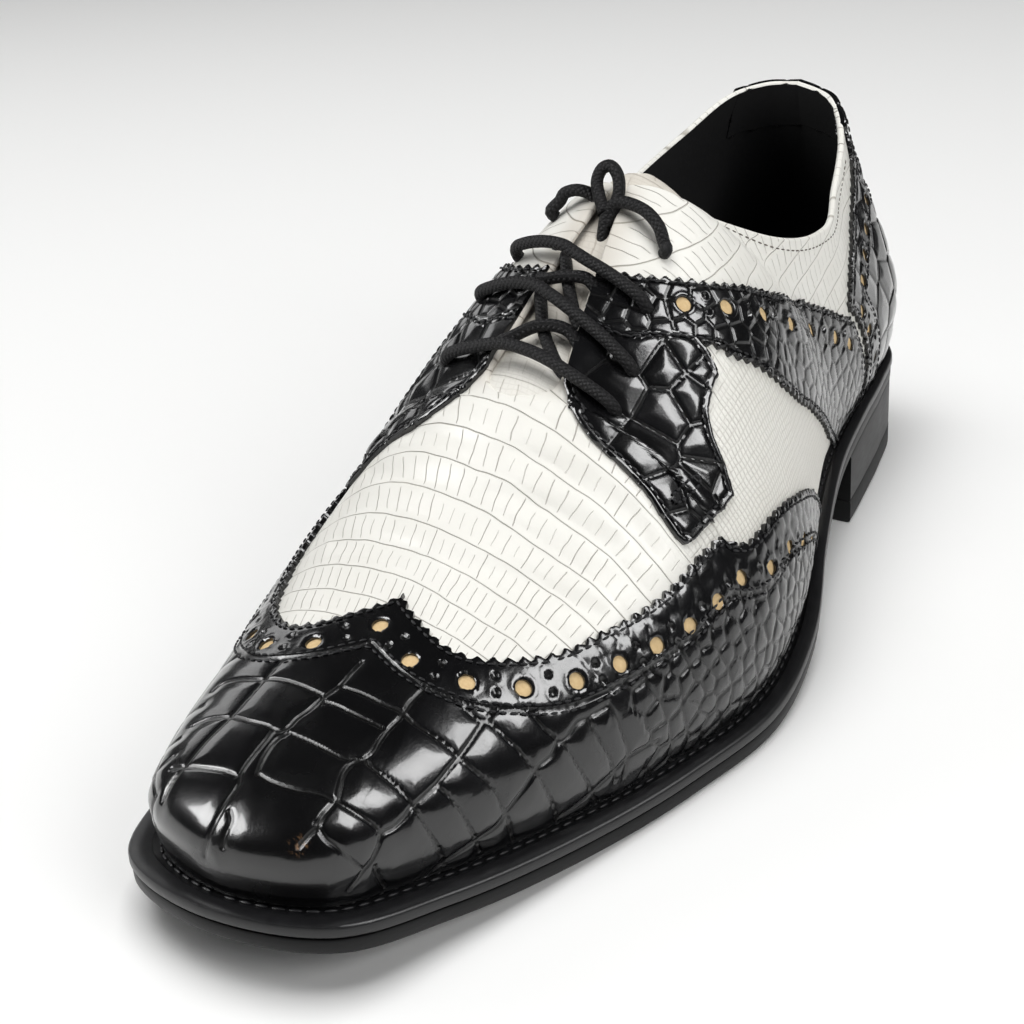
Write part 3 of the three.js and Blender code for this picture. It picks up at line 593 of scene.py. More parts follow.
def makeSheet(grids):
    rs, ws, faces, offset = [], [], [], 0
    for r, w in grids:
        n, m = r.shape
        i, j = np.meshgrid(np.arange(n - 1), np.arange(m - 1), indexing="ij")
        a = offset + i * m + j
        b, c, d = a + m, a + m + 1, a + 1
        faces.append(np.stack([a, b, c], -1).reshape(-1, 3))
        faces.append(np.stack([a, c, d], -1).reshape(-1, 3))
        rs.append(r.ravel())
        ws.append(w.ravel())
        offset += n * m
    r, w, faces = np.concatenate(rs), np.concatenate(ws), np.concatenate(faces)
    base = surface(r, w)
    _, first, back = np.unique(np.round(base * 500).astype(np.int64), axis=0, return_index=True, return_inverse=True)
    faces = back.ravel()[faces]
    good = (faces[:, 0] != faces[:, 1]) & (faces[:, 1] != faces[:, 2]) & (faces[:, 2] != faces[:, 0])
    r, w = r[first], w[first]
    outer = r % around <= lastStation
    return {"r": r, "w": w, "base": base[first], "normal": normalAt(r, w), "faces": faces[good],
            "side": np.where(outer, 1.0, -1.0), "s": np.where(outer, r % around, around - r % around)}


def cutSheet(sheet, keep):
    inside = keep > 0
    faces = sheet["faces"]
    count = inside[faces].sum(1)
    whole = faces[count == 3]
    fresh, weights, index = [], [], {}

    def crossing(a, b):
        key = (min(a, b), max(a, b))
        if key not in index:
            t = keep[key[0]] / (keep[key[0]] - keep[key[1]])
            index[key] = len(inside) + len(fresh)
            fresh.append(key)
            weights.append(t)
        return index[key]

    cut = []
    for face in faces[(count == 1) | (count == 2)].tolist():
        flags = [inside[v] for v in face]
        if sum(flags) == 1:
            k = flags.index(True)
            a, b, c = face[k], face[(k + 1) % 3], face[(k + 2) % 3]
            cut.append((a, crossing(a, b), crossing(a, c)))
        else:
            k = flags.index(False)
            a, b, c = face[k], face[(k + 1) % 3], face[(k + 2) % 3]
            ab, ac = crossing(a, b), crossing(a, c)
            cut.append((ab, b, c))
            cut.append((ab, c, ac))
    faces = np.concatenate([whole, np.array(cut, int).reshape(-1, 3)]) if cut else whole
    result = {}
    keys, t = np.array(fresh, int).reshape(-1, 2), np.array(weights)
    for name, values in sheet.items():
        if name == "faces":
            continue
        extra = values[keys[:, 0]] + (values[keys[:, 1]] - values[keys[:, 0]]) * (
            t if values.ndim == 1 else t[:, None])
        result[name] = np.concatenate([values, extra])
    used, renumbered = np.unique(faces, return_inverse=True)
    for name in result:
        result[name] = result[name][used]
    result["faces"] = renumbered.reshape(-1, 3)
    return result


def contour(sheet, values, level):
    keep = values - level
    inside = keep > 0
    faces = sheet["faces"]
    count = inside[faces].sum(1)
    links, points, normals = {}, {}, {}
    for face in faces[(count == 1) | (count == 2)].tolist():
        ends = []
        for a, b in ((face[0], face[1]), (face[1], face[2]), (face[2], face[0])):
            if inside[a] != inside[b]:
                key = (min(a, b), max(a, b))
                if key not in points:
                    t = keep[key[0]] / (keep[key[0]] - keep[key[1]])
                    points[key] = mix(sheet["lifted"][key[0]], sheet["lifted"][key[1]], t)
                    normals[key] = mix(sheet["normal"][key[0]], sheet["normal"][key[1]], t)
                ends.append(key)
        links.setdefault(ends[0], []).append(ends[1])
        links.setdefault(ends[1], []).append(ends[0])
    lines, seen = [], set()
    for start in sorted(links, key=lambda k: len(links[k])):
        if start in seen:
            continue
        line, here = [start], start
        seen.add(start)
        while True:
            following = [k for k in links[here] if k not in seen]
            if not following:
                break
            here = following[0]
            seen.add(here)
            line.append(here)
        if len(line) > 4:
            lines.append((np.array([points[k] for k in line]), np.array([normals[k] for k in line])))
    return lines


def smoothStep(a, b, x):
    t = np.clip((x - a) / (b - a), 0, 1)
    return t * t * (3 - 2 * t)


def splined(points, count):
    points = np.asarray(points, float)
    t = np.linspace(0, len(points) - 1, count)
    return np.stack([along(points[:, k], t) for k in range(points.shape[1])], -1)


def insideOutline(s, w, polygon):
    inside = np.zeros(len(s), bool)
    x1, y1 = polygon[-1]
    for x2, y2 in polygon:
        if y1 != y2:
            crosses = ((y1 > w) != (y2 > w)) & (s < (x2 - x1) * (w - y1) / (y2 - y1) + x1)
            inside ^= crosses
        x1, y1 = x2, y2
    return inside


def edgeDistance(sheet, edges, inside):
    # signed distance in mm from each point of the sheet to the edges, positive inside, and how far along
    samples, runs = [], []
    for side, line in edges:
        p = surface(ring(side, line[:, 0]), line[:, 1])
        run = np.concatenate([[0], np.cumsum(np.linalg.norm(np.diff(p, axis=0), axis=1))])
        samples.append(p)
        runs.append(run)
    samples, runs = np.concatenate(samples), np.concatenate(runs)
    tree = kdtree.KDTree(len(samples))
    for k, p in enumerate(samples):
        tree.insert(p, k)
    tree.balance()
    found = [tree.find(p)[1:] for p in sheet["base"]]
    distance = np.array([f[1] for f in found])
    run = runs[np.array([f[0] for f in found])]
    return np.where(inside, distance, -distance), run


def gimp(run, pitch, depth):
    # pinked edge: rounded teeth
    wave = np.abs((run / pitch) % 1 - 0.5) * 2
    return depth * (1 - smoothStep(0, 1, wave)) * 0.6 + depth * (1 - wave) * 0.4


def scales(sheet, seeds):
    # distance in mm to the nearest groove between scales, its direction, and each point's scale
    tree = kdtree.KDTree(len(seeds))
    for k, p in enumerate(seeds):
        tree.insert(p, k)
    tree.balance()
    ids = np.array([[f[1] for f in tree.find_n(p, 4)] for p in sheet["base"]])
    near = seeds[ids]
    gaps = np.linalg.norm(near - sheet["base"][:, None], axis=2)
    apart = near[:, 1:] - near[:, :1]
    width = np.linalg.norm(apart, axis=2)
    edges = (gaps[:, 1:] ** 2 - gaps[:, :1] ** 2) / (2 * width)
    pick = edges.argmin(1)
    rows = np.arange(len(ids))
    return edges[rows, pick], apart[rows, pick] / width[rows, pick][:, None], ids[:, 0], gaps[:, 0]


def grooveLines(sheet, lines):
    # distance in mm to the nearest listed groove, measured along the leather, its direction and run
    samples, runs = [], []
    for line in lines:
        points = surface(line[:, 0], line[:, 1])
        for start, end in zip(line[:-1], line[1:]):
            if abs(end[0] - start[0]) > 13:  # over the toe's middle, where the ring starts again
                continue
        fine, length = curveThrough(points, 0.22)
        samples.append(fine)
        runs.append(np.linspace(0, length, len(fine)) + 100 * len(runs))
    samples, runs = np.concatenate(samples), np.concatenate(runs)
    tree = kdtree.KDTree(len(samples))
    for k, p in enumerate(samples):
        tree.insert(p, k)
    tree.balance()
    ids = np.array([tree.find(p)[1] for p in sheet["base"]])
    way = samples[ids] - sheet["base"]
    way -= sheet["normal"] * np.sum(way * sheet["normal"], axis=1, keepdims=True)
    edge = np.linalg.norm(way, axis=1)
    return edge, way / np.maximum(edge, 1e-6)[:, None], runs[ids]


def fillSeeds(sheet, fixed, where, size, tries, seed):
    # scatters scales of the given size in the region, none closer to another than its size
    source = np.random.default_rng(seed)
    region = np.flatnonzero(where)
    order = source.permutation(region)[:tries]
    kept, sizes = list(fixed), [0.0] * len(fixed)
    accepted = np.array(fixed, float).reshape(-1, 3)
    for k in order:
        p, d = sheet["base"][k], size[k]
        if len(accepted) == 0 or (np.sum((accepted - p) ** 2, axis=1) > d * d).all():
            accepted = np.vstack([accepted, p])
    return accepted


def snapToGrooves(sheet, edge, way, reach):
    close = edge < reach
    move = way * np.where(close, edge, 0)[:, None]
    move -= sheet["normal"] * np.sum(move * sheet["normal"], axis=1, keepdims=True)
    sheet["base"] = sheet["base"] + move
    return np.where(close, 0, edge)


def rimOf(sheet, points, profile):
    # walls round a sheet's open edges: profile rows are (outward, down) in mm
    faces = sheet["faces"]
    edges = np.concatenate([faces[:, [0, 1]], faces[:, [1, 2]], faces[:, [2, 0]]])
    key = np.sort(edges, axis=1)
    _, index, counts = np.unique(key, axis=0, return_index=True, return_counts=True)
    rim = edges[index[counts == 1]]
    way = points[rim[:, 1]] - points[rim[:, 0]]
    out = np.cross(way, sheet["normal"][rim[:, 0]])
    out /= np.maximum(np.linalg.norm(out, axis=1, keepdims=True), 1e-9)
    total = np.zeros_like(points)
    np.add.at(total, rim[:, 0], out)
    np.add.at(total, rim[:, 1], out)
    ids = np.unique(rim)
    total = total[ids] / np.maximum(np.linalg.norm(total[ids], axis=1, keepdims=True), 1e-9)
    lookup = np.full(len(points), -1)
    lookup[ids] = np.arange(len(ids))
    layers, quads, previous = [], [], rim
    offset = len(points)
    for outDistance, down in profile:
        layers.append(points[ids] + total * outDistance - sheet["normal"][ids] * down)
        current = lookup[rim] + offset
        quads.append(np.stack([previous[:, 1], previous[:, 0], current[:, 0], current[:, 1]], -1))
        previous = current
        offset += len(ids)
    return np.concatenate(layers), np.concatenate(quads), np.tile(ids, len(profile))


def leatherPiece(name, sheet, material, lift, profile, attributes, smooth=None):
    points = sheet["base"] + sheet["normal"] * (lift + sheet["height"])[:, None]
    extra, quads, ids = rimOf(sheet, points, profile)
    values = {key: np.concatenate([sheet[key], sheet[key][ids]]) for key in attributes}
    return buildMesh(name, np.concatenate([points, extra]), [sheet["faces"], quads], material, values, smooth)


# Leathers
def objectNoise(tree, perMetre, detail=3.0, rough=0.5, stretch=None):
    coords = addNode(tree, "ShaderNodeTexCoord").outputs["Object"]
    if stretch:
        coords = addNode(tree, "ShaderNodeMapping", {"Scale": stretch}, {"Vector": coords}).outputs[0]
    return addNode(tree, "ShaderNodeTexNoise", {"Scale": perMetre, "Detail": detail, "Roughness": rough},
                   {"Vector": coords}).outputs[0]


def attribute(tree, name):
    return addNode(tree, "ShaderNodeAttribute", {"attribute_name": name}).outputs["Fac"]


def mathNode(tree, operation, a, b=None, c=None):
    settings, links = {"operation": operation}, {}
    for k, value in enumerate((a, b, c)):
        if value is None:
            continue
        if isinstance(value, (int, float)):
            settings[k] = value
        else:
            links[k] = value
    return addNode(tree, "ShaderNodeMath", settings, links).outputs[0]


def rangeNode(tree, value, low, high, toLow=0.0, toHigh=1.0, smooth=True):
    return addNode(tree, "ShaderNodeMapRange", {
        "interpolation_type": "SMOOTHSTEP" if smooth else "LINEAR",
        1: low, 2: high, 3: toLow, 4: toHigh}, {0: value}).outputs[0]


def colorMix(tree, factor, a, b):
    settings, links = {"data_type": "RGBA"}, {0: factor}
    for key, value in ((6, a), (7, b)):
        if isinstance(value, tuple):
            settings[key] = value
        else:
            links[key] = value
    return addNode(tree, "ShaderNodeMix", settings, links).outputs[2]


scuff = {"place": tuple(surface(*onShoe([(298, 845)])[0]) * mm), "reach": 0.0028}  # the worn spot on the toe


def polishedBlackCalf():
    # Calf embossed with large scales, black, plated and polished: deep black, sharp soft-box glints,
    # grooves a little matt, faint creases across each scale
    material, tree, shader = newMaterial("polishedEmbossedBlackCalf")
    edge, cell, plain = (attribute(tree, n) for n in ("edge", "cell", "plain"))
    groove = rangeNode(tree, edge, 0.0, 0.75)
    creases = objectNoise(tree, 330.0, 4.0, 0.55, (1.0, 0.45, 1.0))
    pores = objectNoise(tree, 1700.0, 2.0, 0.5)
    cloudy = objectNoise(tree, 90.0, 3.0, 0.6)
    fine = mathNode(tree, "MULTIPLY_ADD", pores, 0.12, mathNode(tree, "MULTIPLY", creases, 0.16))
    height = mathNode(tree, "ADD", groove, fine)
    bump = addNode(tree, "ShaderNodeBump", {"Strength": 0.75, "Distance": 0.00028}, {"Height": height})
    dark = colorMix(tree, cell, hexColor("#060607"), hexColor("#0e0e10"))
    color = colorMix(tree, rangeNode(tree, edge, 0.05, 0.5), hexColor("#020202"), dark)
    coords = addNode(tree, "ShaderNodeTexCoord").outputs["Object"]
    away = addNode(tree, "ShaderNodeVectorMath", {"operation": "DISTANCE", 1: scuff["place"]}, {0: coords}).outputs["Value"]
    worn = mathNode(tree, "MULTIPLY", rangeNode(tree, away, scuff["reach"], 0.0005), rangeNode(
        tree, objectNoise(tree, 700.0, 4.0, 0.7, (1.0, 2.2, 1.0)), 0.5, 0.66))
    color = colorMix(tree, worn, color, hexColor("#8f6d4d"))
    tree.links.new(shader.inputs["Base Color"], color)
    rough = mathNode(tree, "MULTIPLY_ADD", cloudy, 0.28, 0.1)
    rough = mathNode(tree, "MULTIPLY_ADD", groove, -0.16, mathNode(tree, "ADD", rough, 0.16))
    tree.links.new(shader.inputs["Roughness"], rough)
    tree.links.new(shader.inputs["Normal"], bump.outputs[0])
    shader.inputs["Specular IOR Level"].default_value = 0.5
    shader.inputs["Coat Weight"].default_value = 0.6
    shader.inputs["Coat Roughness"].default_value = 0.09
    return material


def whiteEmbossedCalf():
    # Calf embossed with lizard rows, painted ivory white: satin, thin grey-brown lines in the grooves; a brownish
    # painted shade is mixed in by the facings and low on the flank
    material, tree, shader = newMaterial("whiteEmbossedCalf")
    rows, ticks, kind, paintedShade = (attribute(tree, n) for n in ("rowAt", "tickAt", "kind", "paintedShade"))
    wander = objectNoise(tree, 60.0, 2.0)
    rows = mathNode(tree, "MULTIPLY_ADD", wander, 0.35, rows)
    rowNumber = mathNode(tree, "FLOOR", rows)
    inRow = mathNode(tree, "ABSOLUTE", mathNode(tree, "SUBTRACT", mathNode(tree, "FRACT", rows), 0.5))
    jitter = addNode(tree, "ShaderNodeTexWhiteNoise", {"noise_dimensions": "1D"}, {"W": rowNumber}).outputs[0]
    ticksHere = mathNode(tree, "ADD", ticks, mathNode(tree, "MULTIPLY", jitter, 7.3))
    ticksHere = mathNode(tree, "MULTIPLY_ADD", objectNoise(tree, 150.0, 1.0), 0.5, ticksHere)
    inTick = mathNode(tree, "ABSOLUTE", mathNode(tree, "SUBTRACT", mathNode(tree, "FRACT", ticksHere), 0.5))
    both = mathNode(tree, "MULTIPLY_ADD", rowNumber, 37.0, mathNode(tree, "FLOOR", mathNode(tree, "ADD", ticksHere, 0.5)))
    chance = addNode(tree, "ShaderNodeTexWhiteNoise", {"noise_dimensions": "1D"}, {"W": both}).outputs[0]
    rowLine = rangeNode(tree, inRow, 0.473, 0.499)
    reach = mathNode(tree, "MULTIPLY_ADD", chance, 0.24, 0.22)
    within = rangeNode(tree, mathNode(tree, "SUBTRACT", reach, inRow), -0.02, 0.05)
    tickLine = mathNode(tree, "MULTIPLY", rangeNode(tree, inTick, 0.445, 0.497), within)
    tickLine = mathNode(tree, "MULTIPLY", tickLine, mathNode(tree, "MULTIPLY_ADD", chance, 0.6, 0.4))
    lizard = mathNode(tree, "MAXIMUM", rowLine, tickLine)
    fineRows = mathNode(tree, "MULTIPLY_ADD", objectNoise(tree, 90.0, 3.0), 2.2, mathNode(tree, "MULTIPLY", rows, 5.0))
    fineRow = mathNode(tree, "ABSOLUTE", mathNode(tree, "SUBTRACT", mathNode(tree, "FRACT", fineRows), 0.5))
    fineTick = mathNode(tree, "ABSOLUTE", mathNode(tree, "SUBTRACT", mathNode(
        tree, "FRACT", mathNode(tree, "MULTIPLY_ADD", objectNoise(tree, 130.0, 2.0), 1.5,
                                mathNode(tree, "MULTIPLY", ticks, 2.6))), 0.5))
    fine = mathNode(tree, "MAXIMUM", rangeNode(tree, fineRow, 0.3, 0.5),
                    mathNode(tree, "MULTIPLY", rangeNode(tree, fineTick, 0.3, 0.5), 0.6))
    lines = addNode(tree, "ShaderNodeMix", {"data_type": "FLOAT"}, {0: kind, 2: lizard, 3: mathNode(
        tree, "MULTIPLY", fine, 0.55)}).outputs[0]
    grain = objectNoise(tree, 1500.0, 3.0)
    wrinkle = objectNoise(tree, 260.0, 3.0, 0.6)
    height = mathNode(tree, "MULTIPLY_ADD", lines, -1.0, mathNode(
        tree, "MULTIPLY_ADD", grain, 0.16, mathNode(tree, "MULTIPLY", wrinkle, 0.3)))
    bump = addNode(tree, "ShaderNodeBump", {"Strength": 0.8, "Distance": 0.00032}, {"Height": height})
    body = colorMix(tree, objectNoise(tree, 45.0, 3.0), hexColor("#ebe9e1"), hexColor("#f6f5ef"))
    lined = colorMix(tree, mathNode(tree, "MULTIPLY", lines, 0.72), body, hexColor("#9c968b"))
    # painted shade: a brownish grey mixed into the white where the painted-shade attribute is high
    color = colorMix(tree, paintedShade, lined, hexColor("#9a8467"))
    tree.links.new(shader.inputs["Base Color"], color)
    tree.links.new(shader.inputs["Roughness"], mathNode(tree, "MULTIPLY_ADD", objectNoise(tree, 200.0), 0.15, 0.34))
    tree.links.new(shader.inputs["Normal"], bump.outputs[0])
    shader.inputs["Specular IOR Level"].default_value = 0.45
    return material


def plainMaterial(name, low, high, rough, perMetre, depth, specular=0.4, stretch=None):
    material, tree, shader = newMaterial(name)
    noise = objectNoise(tree, perMetre, 4.0, 0.6, stretch)
    tree.links.new(shader.inputs["Base Color"], colorMix(tree, noise, hexColor(low), hexColor(high)))
    tree.links.new(shader.inputs["Roughness"], mathNode(tree, "MULTIPLY_ADD", noise, 0.16, rough - 0.08))
    bump = addNode(tree, "ShaderNodeBump", {"Strength": 0.6, "Distance": depth}, {"Height": noise})
    tree.links.new(shader.inputs["Normal"], bump.outputs[0])
    shader.inputs["Specular IOR Level"].default_value = specular
    return material


blackCalf = polishedBlackCalf()
whiteCalf = whiteEmbossedCalf()
liningLeather = plainMaterial("blackPigskinLining", "#0f0f10", "#1d1d1e", 0.72, 900.0, 0.00012, 0.3)
cutEdge = plainMaterial("rawCalfCutEdge", "#cbab7a", "#ecd2a4", 0.8, 1200.0, 0.0001, 0.2)
blackEdge = plainMaterial("blackInkedEdge", "#0a0a0b", "#161617", 0.42, 700.0, 0.00006)
weltLeather = plainMaterial("burnishedWeltLeather", "#101011", "#1c1c1e", 0.36, 420.0, 0.00005, 0.5)
soleEdge = plainMaterial("inkedSoleEdge", "#0a0a0b", "#141415", 0.42, 160.0, 0.00008, 0.25, (1.0, 1.0, 6.0))
topLift = plainMaterial("blackRubberTopLift", "#0d0d0e", "#1a1a1b", 0.6, 500.0, 0.00012)
blackThread = plainMaterial("waxedBlackThread", "#0d0d0e", "#242427", 0.5, 2600.0, 0.0001)
greyThread = plainMaterial("brownGreyThread", "#4a443d", "#6e675d", 0.6, 2600.0, 0.0001)
print("materials are made")

# Outlines of the panels as (station, height) from the toe and the welt
outlines = {
    "wing": [(3.25, 1.0), (3.12, 0.96), (3.0, 0.89), (2.93, 0.81), (3.0, 0.72), (3.33, 0.61), (3.75, 0.56),
             (4.25, 0.52), (4.88, 0.505), (5.5, 0.46), (6.04, 0.39), (6.6, 0.29), (7.0, 0.17), (7.25, 0.0)],
    "stayFront": [(5.3, 1.0), (5.2, 0.975), (5.08, 0.92), (5.03, 0.84), (4.92, 0.75), (4.71, 0.56)],
    "stayTail": [(4.71, 0.56), (5.06, 0.535), (5.42, 0.59)],
    "stayRear": [(5.42, 0.59), (5.55, 0.66), (5.68, 0.74), (5.9, 0.8)],
    "stripUpper": [(6.04, 1.0), (6.18, 0.92), (6.34, 0.82), (6.7, 0.7), (7.35, 0.66), (8.15, 0.65),
                   (8.86, 0.53), (8.98, 0.3), (9.2, 0.0)],
    "stripLower": [(5.64, 1.0), (5.66, 0.93), (5.76, 0.84), (5.94, 0.76), (6.2, 0.64), (6.7, 0.48),
                   (7.3, 0.35), (7.8, 0.18), (8.25, 0.0)],
    "counter": [(9.3, 0.0), (9.08, 0.3), (8.94, 0.47), (8.84, 0.545), (9.0, 0.629), (9.32, 0.729), (9.78, 0.78),
                (10.4, 0.85), (10.9, 0.9), (11.05, 0.87), (11.1, 0.83)],
    "tab": [(11.0, 0.84), (11.1, 0.92), (11.3, 1.0)],
}
seenOutlines = {  # pixels of the photo, as the camera frames it
    "stripUpper": [(622, 270), (636, 272), (658, 274), (682, 276), (697, 278), (712, 280), (725, 281.5),
                   (737, 283), (750, 285), (763, 288), (776, 291.5), (788, 295), (800, 298.5), (812, 302),
                   (822, 305.5), (832, 309), (846, 315)],
    "stripLower": [(623, 343), (653, 341), (690, 344), (720, 348), (729, 355), (745, 361), (760, 368),
                   (775, 378), (790, 391), (805, 405), (819, 417), (828, 431), (834, 446)],
    "counter": [(850, 314), (850.5, 290), (852, 262), (854, 240)],
    "stayFront": [(564, 383), (565, 388), (566.2, 393.5), (567.6, 399.5), (569.5, 405), (574, 414), (582, 427),
                  (592, 438), (603, 448), (625, 468), (647, 492), (662, 515), (677, 537)],
    "stayTail": [(677, 537), (682, 541), (687, 543), (694, 540), (703, 531), (709, 525), (712, 522), (714.5, 519.2),
                 (717, 516.4), (720, 513), (729, 503), (736, 494)],
    "stayRear": [(736, 494), (731, 478), (725, 461), (720, 447), (714, 433), (711, 422), (710, 410), (712, 395),
                 (716, 381), (720, 372)],
    "stripHoles": [(684, 304), (727, 306), (764, 314), (792, 323), (812, 329), (836, 337)],
    "stayScales": [(662, 366), (619, 387), (664, 411), (595, 411), (647, 446), (694, 396), (708, 370), (673, 500),
                   (712, 448), (712, 474), (699, 496), (681, 524), (725, 483), (690, 350), (640, 352), (730, 360)],
}
brogue = {
    "bigRadius": 1.8, "pinRadius": 0.62, "backing": 0.45,
    "wing": [(2.83, 1.0), (2.63, 0.86), (2.76, 0.69), (3.02, 0.57), (3.35, 0.495), (3.68, 0.46), (4.0, 0.435),
             (4.32, 0.415), (4.65, 0.41), (4.98, 0.405), (5.32, 0.385), (5.67, 0.35), (6.0, 0.3), (6.35, 0.23)],
    "strip": [(6.15, 0.8), (6.42, 0.7), (6.83, 0.605), (7.3, 0.565), (7.8, 0.565), (8.25, 0.535), (8.62, 0.4)],
    "counter": [(9.45, 0.14), (9.25, 0.32), (9.14, 0.46), (9.5, 0.575), (9.92, 0.635), (10.35, 0.685), (10.85, 0.73),
                (11.4, 0.745), (12.0, 0.745)],
}


def holePoints(rows, sides=(1, -1)):
    return np.array([surface(ring(side, s), w) for side in sides for s, w in rows])


def pinPoints(rows, sides=(1, -1)):
    pins = []
    for side in sides:
        for (s0, w0), (s1, w1) in zip(rows[:-1], rows[1:]):
            middle = ((s0 + s1) / 2, (w0 + w1) / 2)
            a, b = surface(ring(side, s0), w0), surface(ring(side, s1), w1)
            centre = surface(ring(side, middle[0]), middle[1])
            normal = normalAt(ring(side, middle[0]), middle[1])
            across = np.cross(normal, b - a)
            across /= np.linalg.norm(across)
            pins += [centre + across * 1.9, centre - across * 1.9]
    return np.array(pins)


def nearest(sheet, centres):
    tree = kdtree.KDTree(len(centres))
    for k, p in enumerate(centres):
        tree.insert(p, k)
    tree.balance()
    return np.array([tree.find(p)[2] for p in sheet["base"]])


def relief(sheet, seeds, depth, dome, plain, snap=0.32, lines=None, lineArea=None):
    # embossed scales: a groove round each and a soft dome on it, fading where the leather is plain
    edge, way, cell, middle = scales(sheet, seeds)
    if lines is not None:
        lineEdge, lineWay, lineRun = grooveLines(sheet, lines)
        nearer = lineArea | (lineEdge < edge)
        edge = np.where(nearer, lineEdge, edge)
        way = np.where(nearer[:, None], lineWay, way)
        sheet["combRun"] = lineRun
    edge = snapToGrooves(sheet, edge, way, snap)
    tones = np.random.default_rng(3).random(len(seeds))
    strength = 1 - plain
    sheet["edge"] = edge * strength + 3.0 * plain
    sheet["cell"] = tones[cell]
    sheet["plain"] = plain
    tilt = (np.random.default_rng(4).random(len(seeds)) - 0.5)[cell]
    sheet["height"] = strength * (-depth * (1 - smoothStep(0, 0.9, edge)) + dome * smoothStep(0, 4.0, edge)
                                  + 0.1 * tilt * smoothStep(0, 2, edge))


def roundEdge(sheet, distance, radius=0.4):
    over = np.clip(1 - distance / radius, 0, 1)
    sheet["height"] = sheet["height"] - radius * (1 - np.sqrt(np.maximum(1 - over ** 2, 0)))


# Wingtip: the black toe, its wings and the point, with large scales in front and small ones behind
toeGrooves = {
    "seen": [  # pixels of the photo, as the camera frames it
        [(163, 800), (172, 782), (188, 762), (208, 738), (224, 722), (233, 713), (245, 700), (258, 686),
         (271, 671), (283, 658), (294, 646)],
        [(204, 856), (207, 840), (217, 817), (226, 802), (238, 785), (241, 771), (256, 751), (267, 738), (272, 730)],
        [(222, 847), (225, 836), (231, 821), (229, 811)],
        [(272, 729), (280, 730), (288, 727), (297, 718), (309, 709), (323, 697), (341, 684), (351, 672), (362, 661)],
        [(257, 772), (263, 758), (271, 745), (279, 737), (289, 733)],
        [(298, 848), (308, 836), (316, 828), (323, 816), (330, 808), (337, 799), (339, 788), (344, 773),
         (351, 764), (361, 761), (373, 753), (380, 741), (389, 729), (398, 720), (404, 713), (411, 702),
         (422, 691), (428, 685)],
        [(350, 890), (363, 872), (371, 861), (378, 846), (383, 834), (394, 827), (407, 815), (412, 807),
         (419, 801), (433, 788), (439, 782), (448, 770), (457, 759), (464, 750), (472, 740), (479, 728),
         (486, 720), (497, 706)],
        [(425, 877), (438, 866), (446, 861), (460, 852), (475, 841), (497, 827), (505, 815), (512, 806),
         (522, 792), (529, 781), (536, 770), (541, 765), (552, 755), (559, 742), (567, 737), (578, 723),
         (590, 717), (607, 706)],
        [(556, 819), (570, 810), (587, 797), (600, 786), (613, 773), (628, 758), (647, 746), (660, 741)],
        [(213, 691), (223, 683), (237, 679), (257, 679), (275, 679), (292, 682), (308, 688), (323, 695)],
        [(342, 687), (360, 693), (380, 702), (398, 710), (404, 714), (412, 721), (421, 728), (437, 738),
         (450, 748), (458, 757), (466, 763), (477, 772), (488, 783), (498, 795), (503, 807), (508, 820),
         (512, 834), (514, 842)],
        [(193, 725), (207, 719), (222, 717), (235, 717), (250, 721), (265, 725), (273, 729)],
        [(288, 732), (300, 737), (317, 745), (333, 753), (345, 758), (357, 758), (367, 762), (372, 766),
         (383, 775), (397, 787), (406, 796), (413, 804), (419, 814), (428, 830), (437, 844), (442, 855), (445, 865)],
        [(322, 702), (333, 704), (350, 712), (367, 720), (382, 727)],
        [(172, 768), (188, 767), (205, 768), (222, 771), (236, 776)],
        [(257, 773), (267, 780), (280, 785), (297, 790), (310, 792), (322, 795), (334, 800), (347, 807),
         (360, 815), (373, 825), (382, 834)],
        [(375, 867), (379, 876), (385, 887)],
        [(317, 823), (321, 831), (328, 840), (338, 848), (351, 860), (363, 870)],
        [(466, 709), (476, 718), (486, 722), (497, 729), (507, 739), (516, 748), (527, 760), (536, 771),
         (544, 783), (550, 796), (555, 810), (557, 821)],
        [(528, 707), (538, 720), (547, 730), (560, 740), (569, 751), (578, 767), (587, 782), (592, 793), (596, 804)],
        [(588, 720), (595, 731), (603, 745), (610, 758), (613, 770), (615, 781)],
        [(610, 704), (618, 717), (623, 732), (628, 750), (627, 763), (624, 777)],
        [(440, 787), (450, 798), (460, 808), (468, 823), (475, 838), (480, 851)],
    ],
    "hidden": [  # stations round the ring and heights, down the medial side of the toe
        [(23.25, 0.78), (23.2, 0.5), (23.1, 0.25), (23.0, 0.0)],
        [(23.85, 0.55), (23.7, 0.3), (23.6, 0.0)],
        [(24.3, 0.5), (24.15, 0.25), (24.1, 0.0)],
        [(24.7, 0.5), (24.6, 0.28), (24.5, 0.0)],
        [(25.1, 0.34), (25.05, 0.2), (25.0, 0.0)],
        [(22.8, 0.6), (22.75, 0.3), (22.6, 0.0)],
        [(25.1, 0.33), (24.4, 0.37), (23.6, 0.43), (22.7, 0.48)],
        [(25.0, 0.17), (24.2, 0.2), (23.4, 0.24), (22.7, 0.22)],
    ],
}
scaleSizes = {"small": 3.7, "grooveDepth": 0.3, "dome": 0.26, "band": 11.5, "stitchIn": 1.9}


def wingDetail():
    along1, across1 = 0.62, 0.62
    grids = []
    heightsToe = np.linspace(0.0, 1.0, 96)
    for side in (1, -1):
        grids.append(sideGrid(side, np.linspace(0, 3.3, 150), heightsToe))
        s = np.linspace(3.3, 7.3, 230)
        top = np.interp(s, [3.3, 4.2, 5.2, 6.0, 6.8, 7.3], [0.66, 0.58, 0.55, 0.46, 0.31, 0.12])
        w = np.linspace(0, 1, 62)[None, :] * top[:, None]
        grid = np.broadcast_to(s[:, None], w.shape), w
        if side < 0:
            grid = grid[0][::-1], grid[1][::-1]
        grids.append((ring(side, grid[0]), grid[1]))
    return makeSheet(grids)


